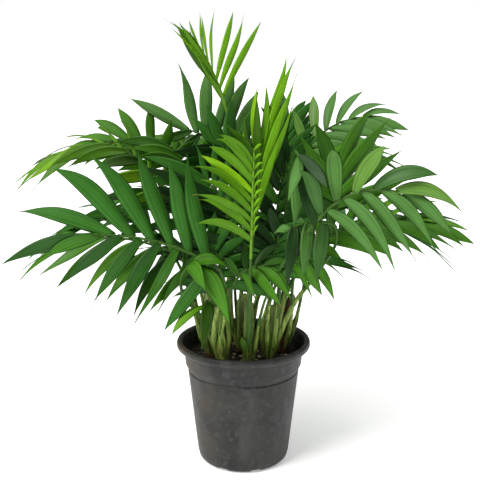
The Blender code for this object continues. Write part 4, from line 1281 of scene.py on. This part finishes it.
def lump(centre, size, rule, flat):
    """A small irregular lump as points and faces."""
    ball = bmesh.new()
    bmesh.ops.create_icosphere(ball, subdivisions=2, radius=1.0)
    turn = Matrix.Rotation(rule.uniform(0, 6.28), 3, "Z")
    turn = turn @ Matrix.Rotation(rule.uniform(-LUMP_TILT, LUMP_TILT), 3, "X")
    stretch = Vector((rule.uniform(*LUMP_LENGTHS), rule.uniform(*LUMP_BREADTHS), flat))
    seed = Vector((rule.uniform(0, 50), 0, 0))
    points = []
    for corner in ball.verts:
        rough = 1 + LUMP_ROUGHNESS * noise.noise(corner.co * LUMP_SCALE + seed)
        offset = Vector(a * b for a, b in zip(corner.co * rough, stretch)) * size
        points.append(centre + turn @ offset)
    faces = [tuple(corner.index for corner in face.verts) for face in ball.faces]
    ball.free()
    return points, faces


def scatter(name, count, sizes, flat, materials):
    """Many small lumps strewn over the soil as one piece."""
    rule = random.Random(name)
    pile = Pile()
    for _ in range(count):
        reach = LITTER_REACH * math.sqrt(rule.random())
        angle = rule.uniform(0, 2 * math.pi)
        size = rule.uniform(*sizes)
        points, faces = lump(on_soil(angle, reach, size * flat * LITTER_SIT), size, rule, flat)
        pile.add(points, faces, [rule.randrange(len(materials))] * len(faces))
    pile.piece(name, materials, "soil")


def build_floor():
    """A pale floor that stays behind as stage."""
    bpy.ops.mesh.primitive_circle_add(vertices=96, radius=FLOOR_RADIUS, fill_type="NGON",
                                      location=(0, 0, FLOOR_HEIGHT))
    floor = bpy.context.object
    floor.name = "floor"
    floor.data.materials.append(Skin("floor_white", FLOOR_SPECULAR).dress(FLOOR_LOOK))


def build_studio():
    """A white surround, soft studio lights and the camera of the photo."""
    scene = bpy.context.scene
    scene.world = bpy.data.worlds.new("studio")
    scene.world.use_nodes = True
    tree = scene.world.node_tree
    dim, seen = (node(tree, "ShaderNodeBackground", Color=WHITE, Strength=glow).outputs["Background"]
                 for glow in (WORLD_GLOW, 1.0))
    path = tree.nodes.new("ShaderNodeLightPath")
    mix = tree.nodes.new("ShaderNodeMixShader")
    for socket, value in zip(mix.inputs, (path.outputs["Is Camera Ray"], dim, seen)):
        feed(tree, socket, value)
    feed(tree, tree.nodes["World Output"].inputs["Surface"], mix.outputs["Shader"])
    for name, place, strength, width, colour in LIGHTS:
        lamp = bpy.data.lights.new(name, "SUN")
        lamp.energy = strength
        lamp.angle = math.radians(width)
        lamp.color = colour
        item = show(name, lamp)
        item.location = place
        item.rotation_euler = Vector(place).to_track_quat("Z", "Y").to_euler()
    lens = bpy.data.cameras.new("camera")
    lens.sensor_width = SENSOR
    lens.lens = FOCAL_PIXELS / IMAGE_PIXELS * SENSOR
    lens.shift_x = -CENTRE_SHIFT_PIXELS / IMAGE_PIXELS
    camera = show("camera", lens)
    camera.location = CAMERA_PLACE
    camera.rotation_euler = (math.radians(90 - CAMERA_DIP), 0, 0)
    scene.camera = camera
    scene.view_settings.view_transform = "Standard"


def main():
    """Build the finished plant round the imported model."""
    skins = {}
    for make, looks in ((leaf_material, VEINED_SKINS), (mixed_material, MIXED_SKINS)):
        skins.update({name: make(name, *look) for name, look in looks.items()})
    leaf_skins = {tone: tone_materials(tone, skins["leaf_dry"]) for tone in TONES}
    build_pot(skins)
    build_soil(skins)
    for *litter, stuffs in LITTER:
        scatter(*litter, [skins[stuff] for stuff in stuffs])
    canes = {cane.name: cane for cane in CANES}
    for cane in CANES:
        build_cane(cane, skins)
        build_sheaths(cane, skins)
    fronds, spines, leaves = plan_plant()
    for frond in fronds:
        build_leaves(frond, leaves[frond.name], leaf_skins[frond.tone])
        build_rib(frond, canes[frond.cane], spines[frond.name], skins)
    build_floor()
    build_studio()


main()
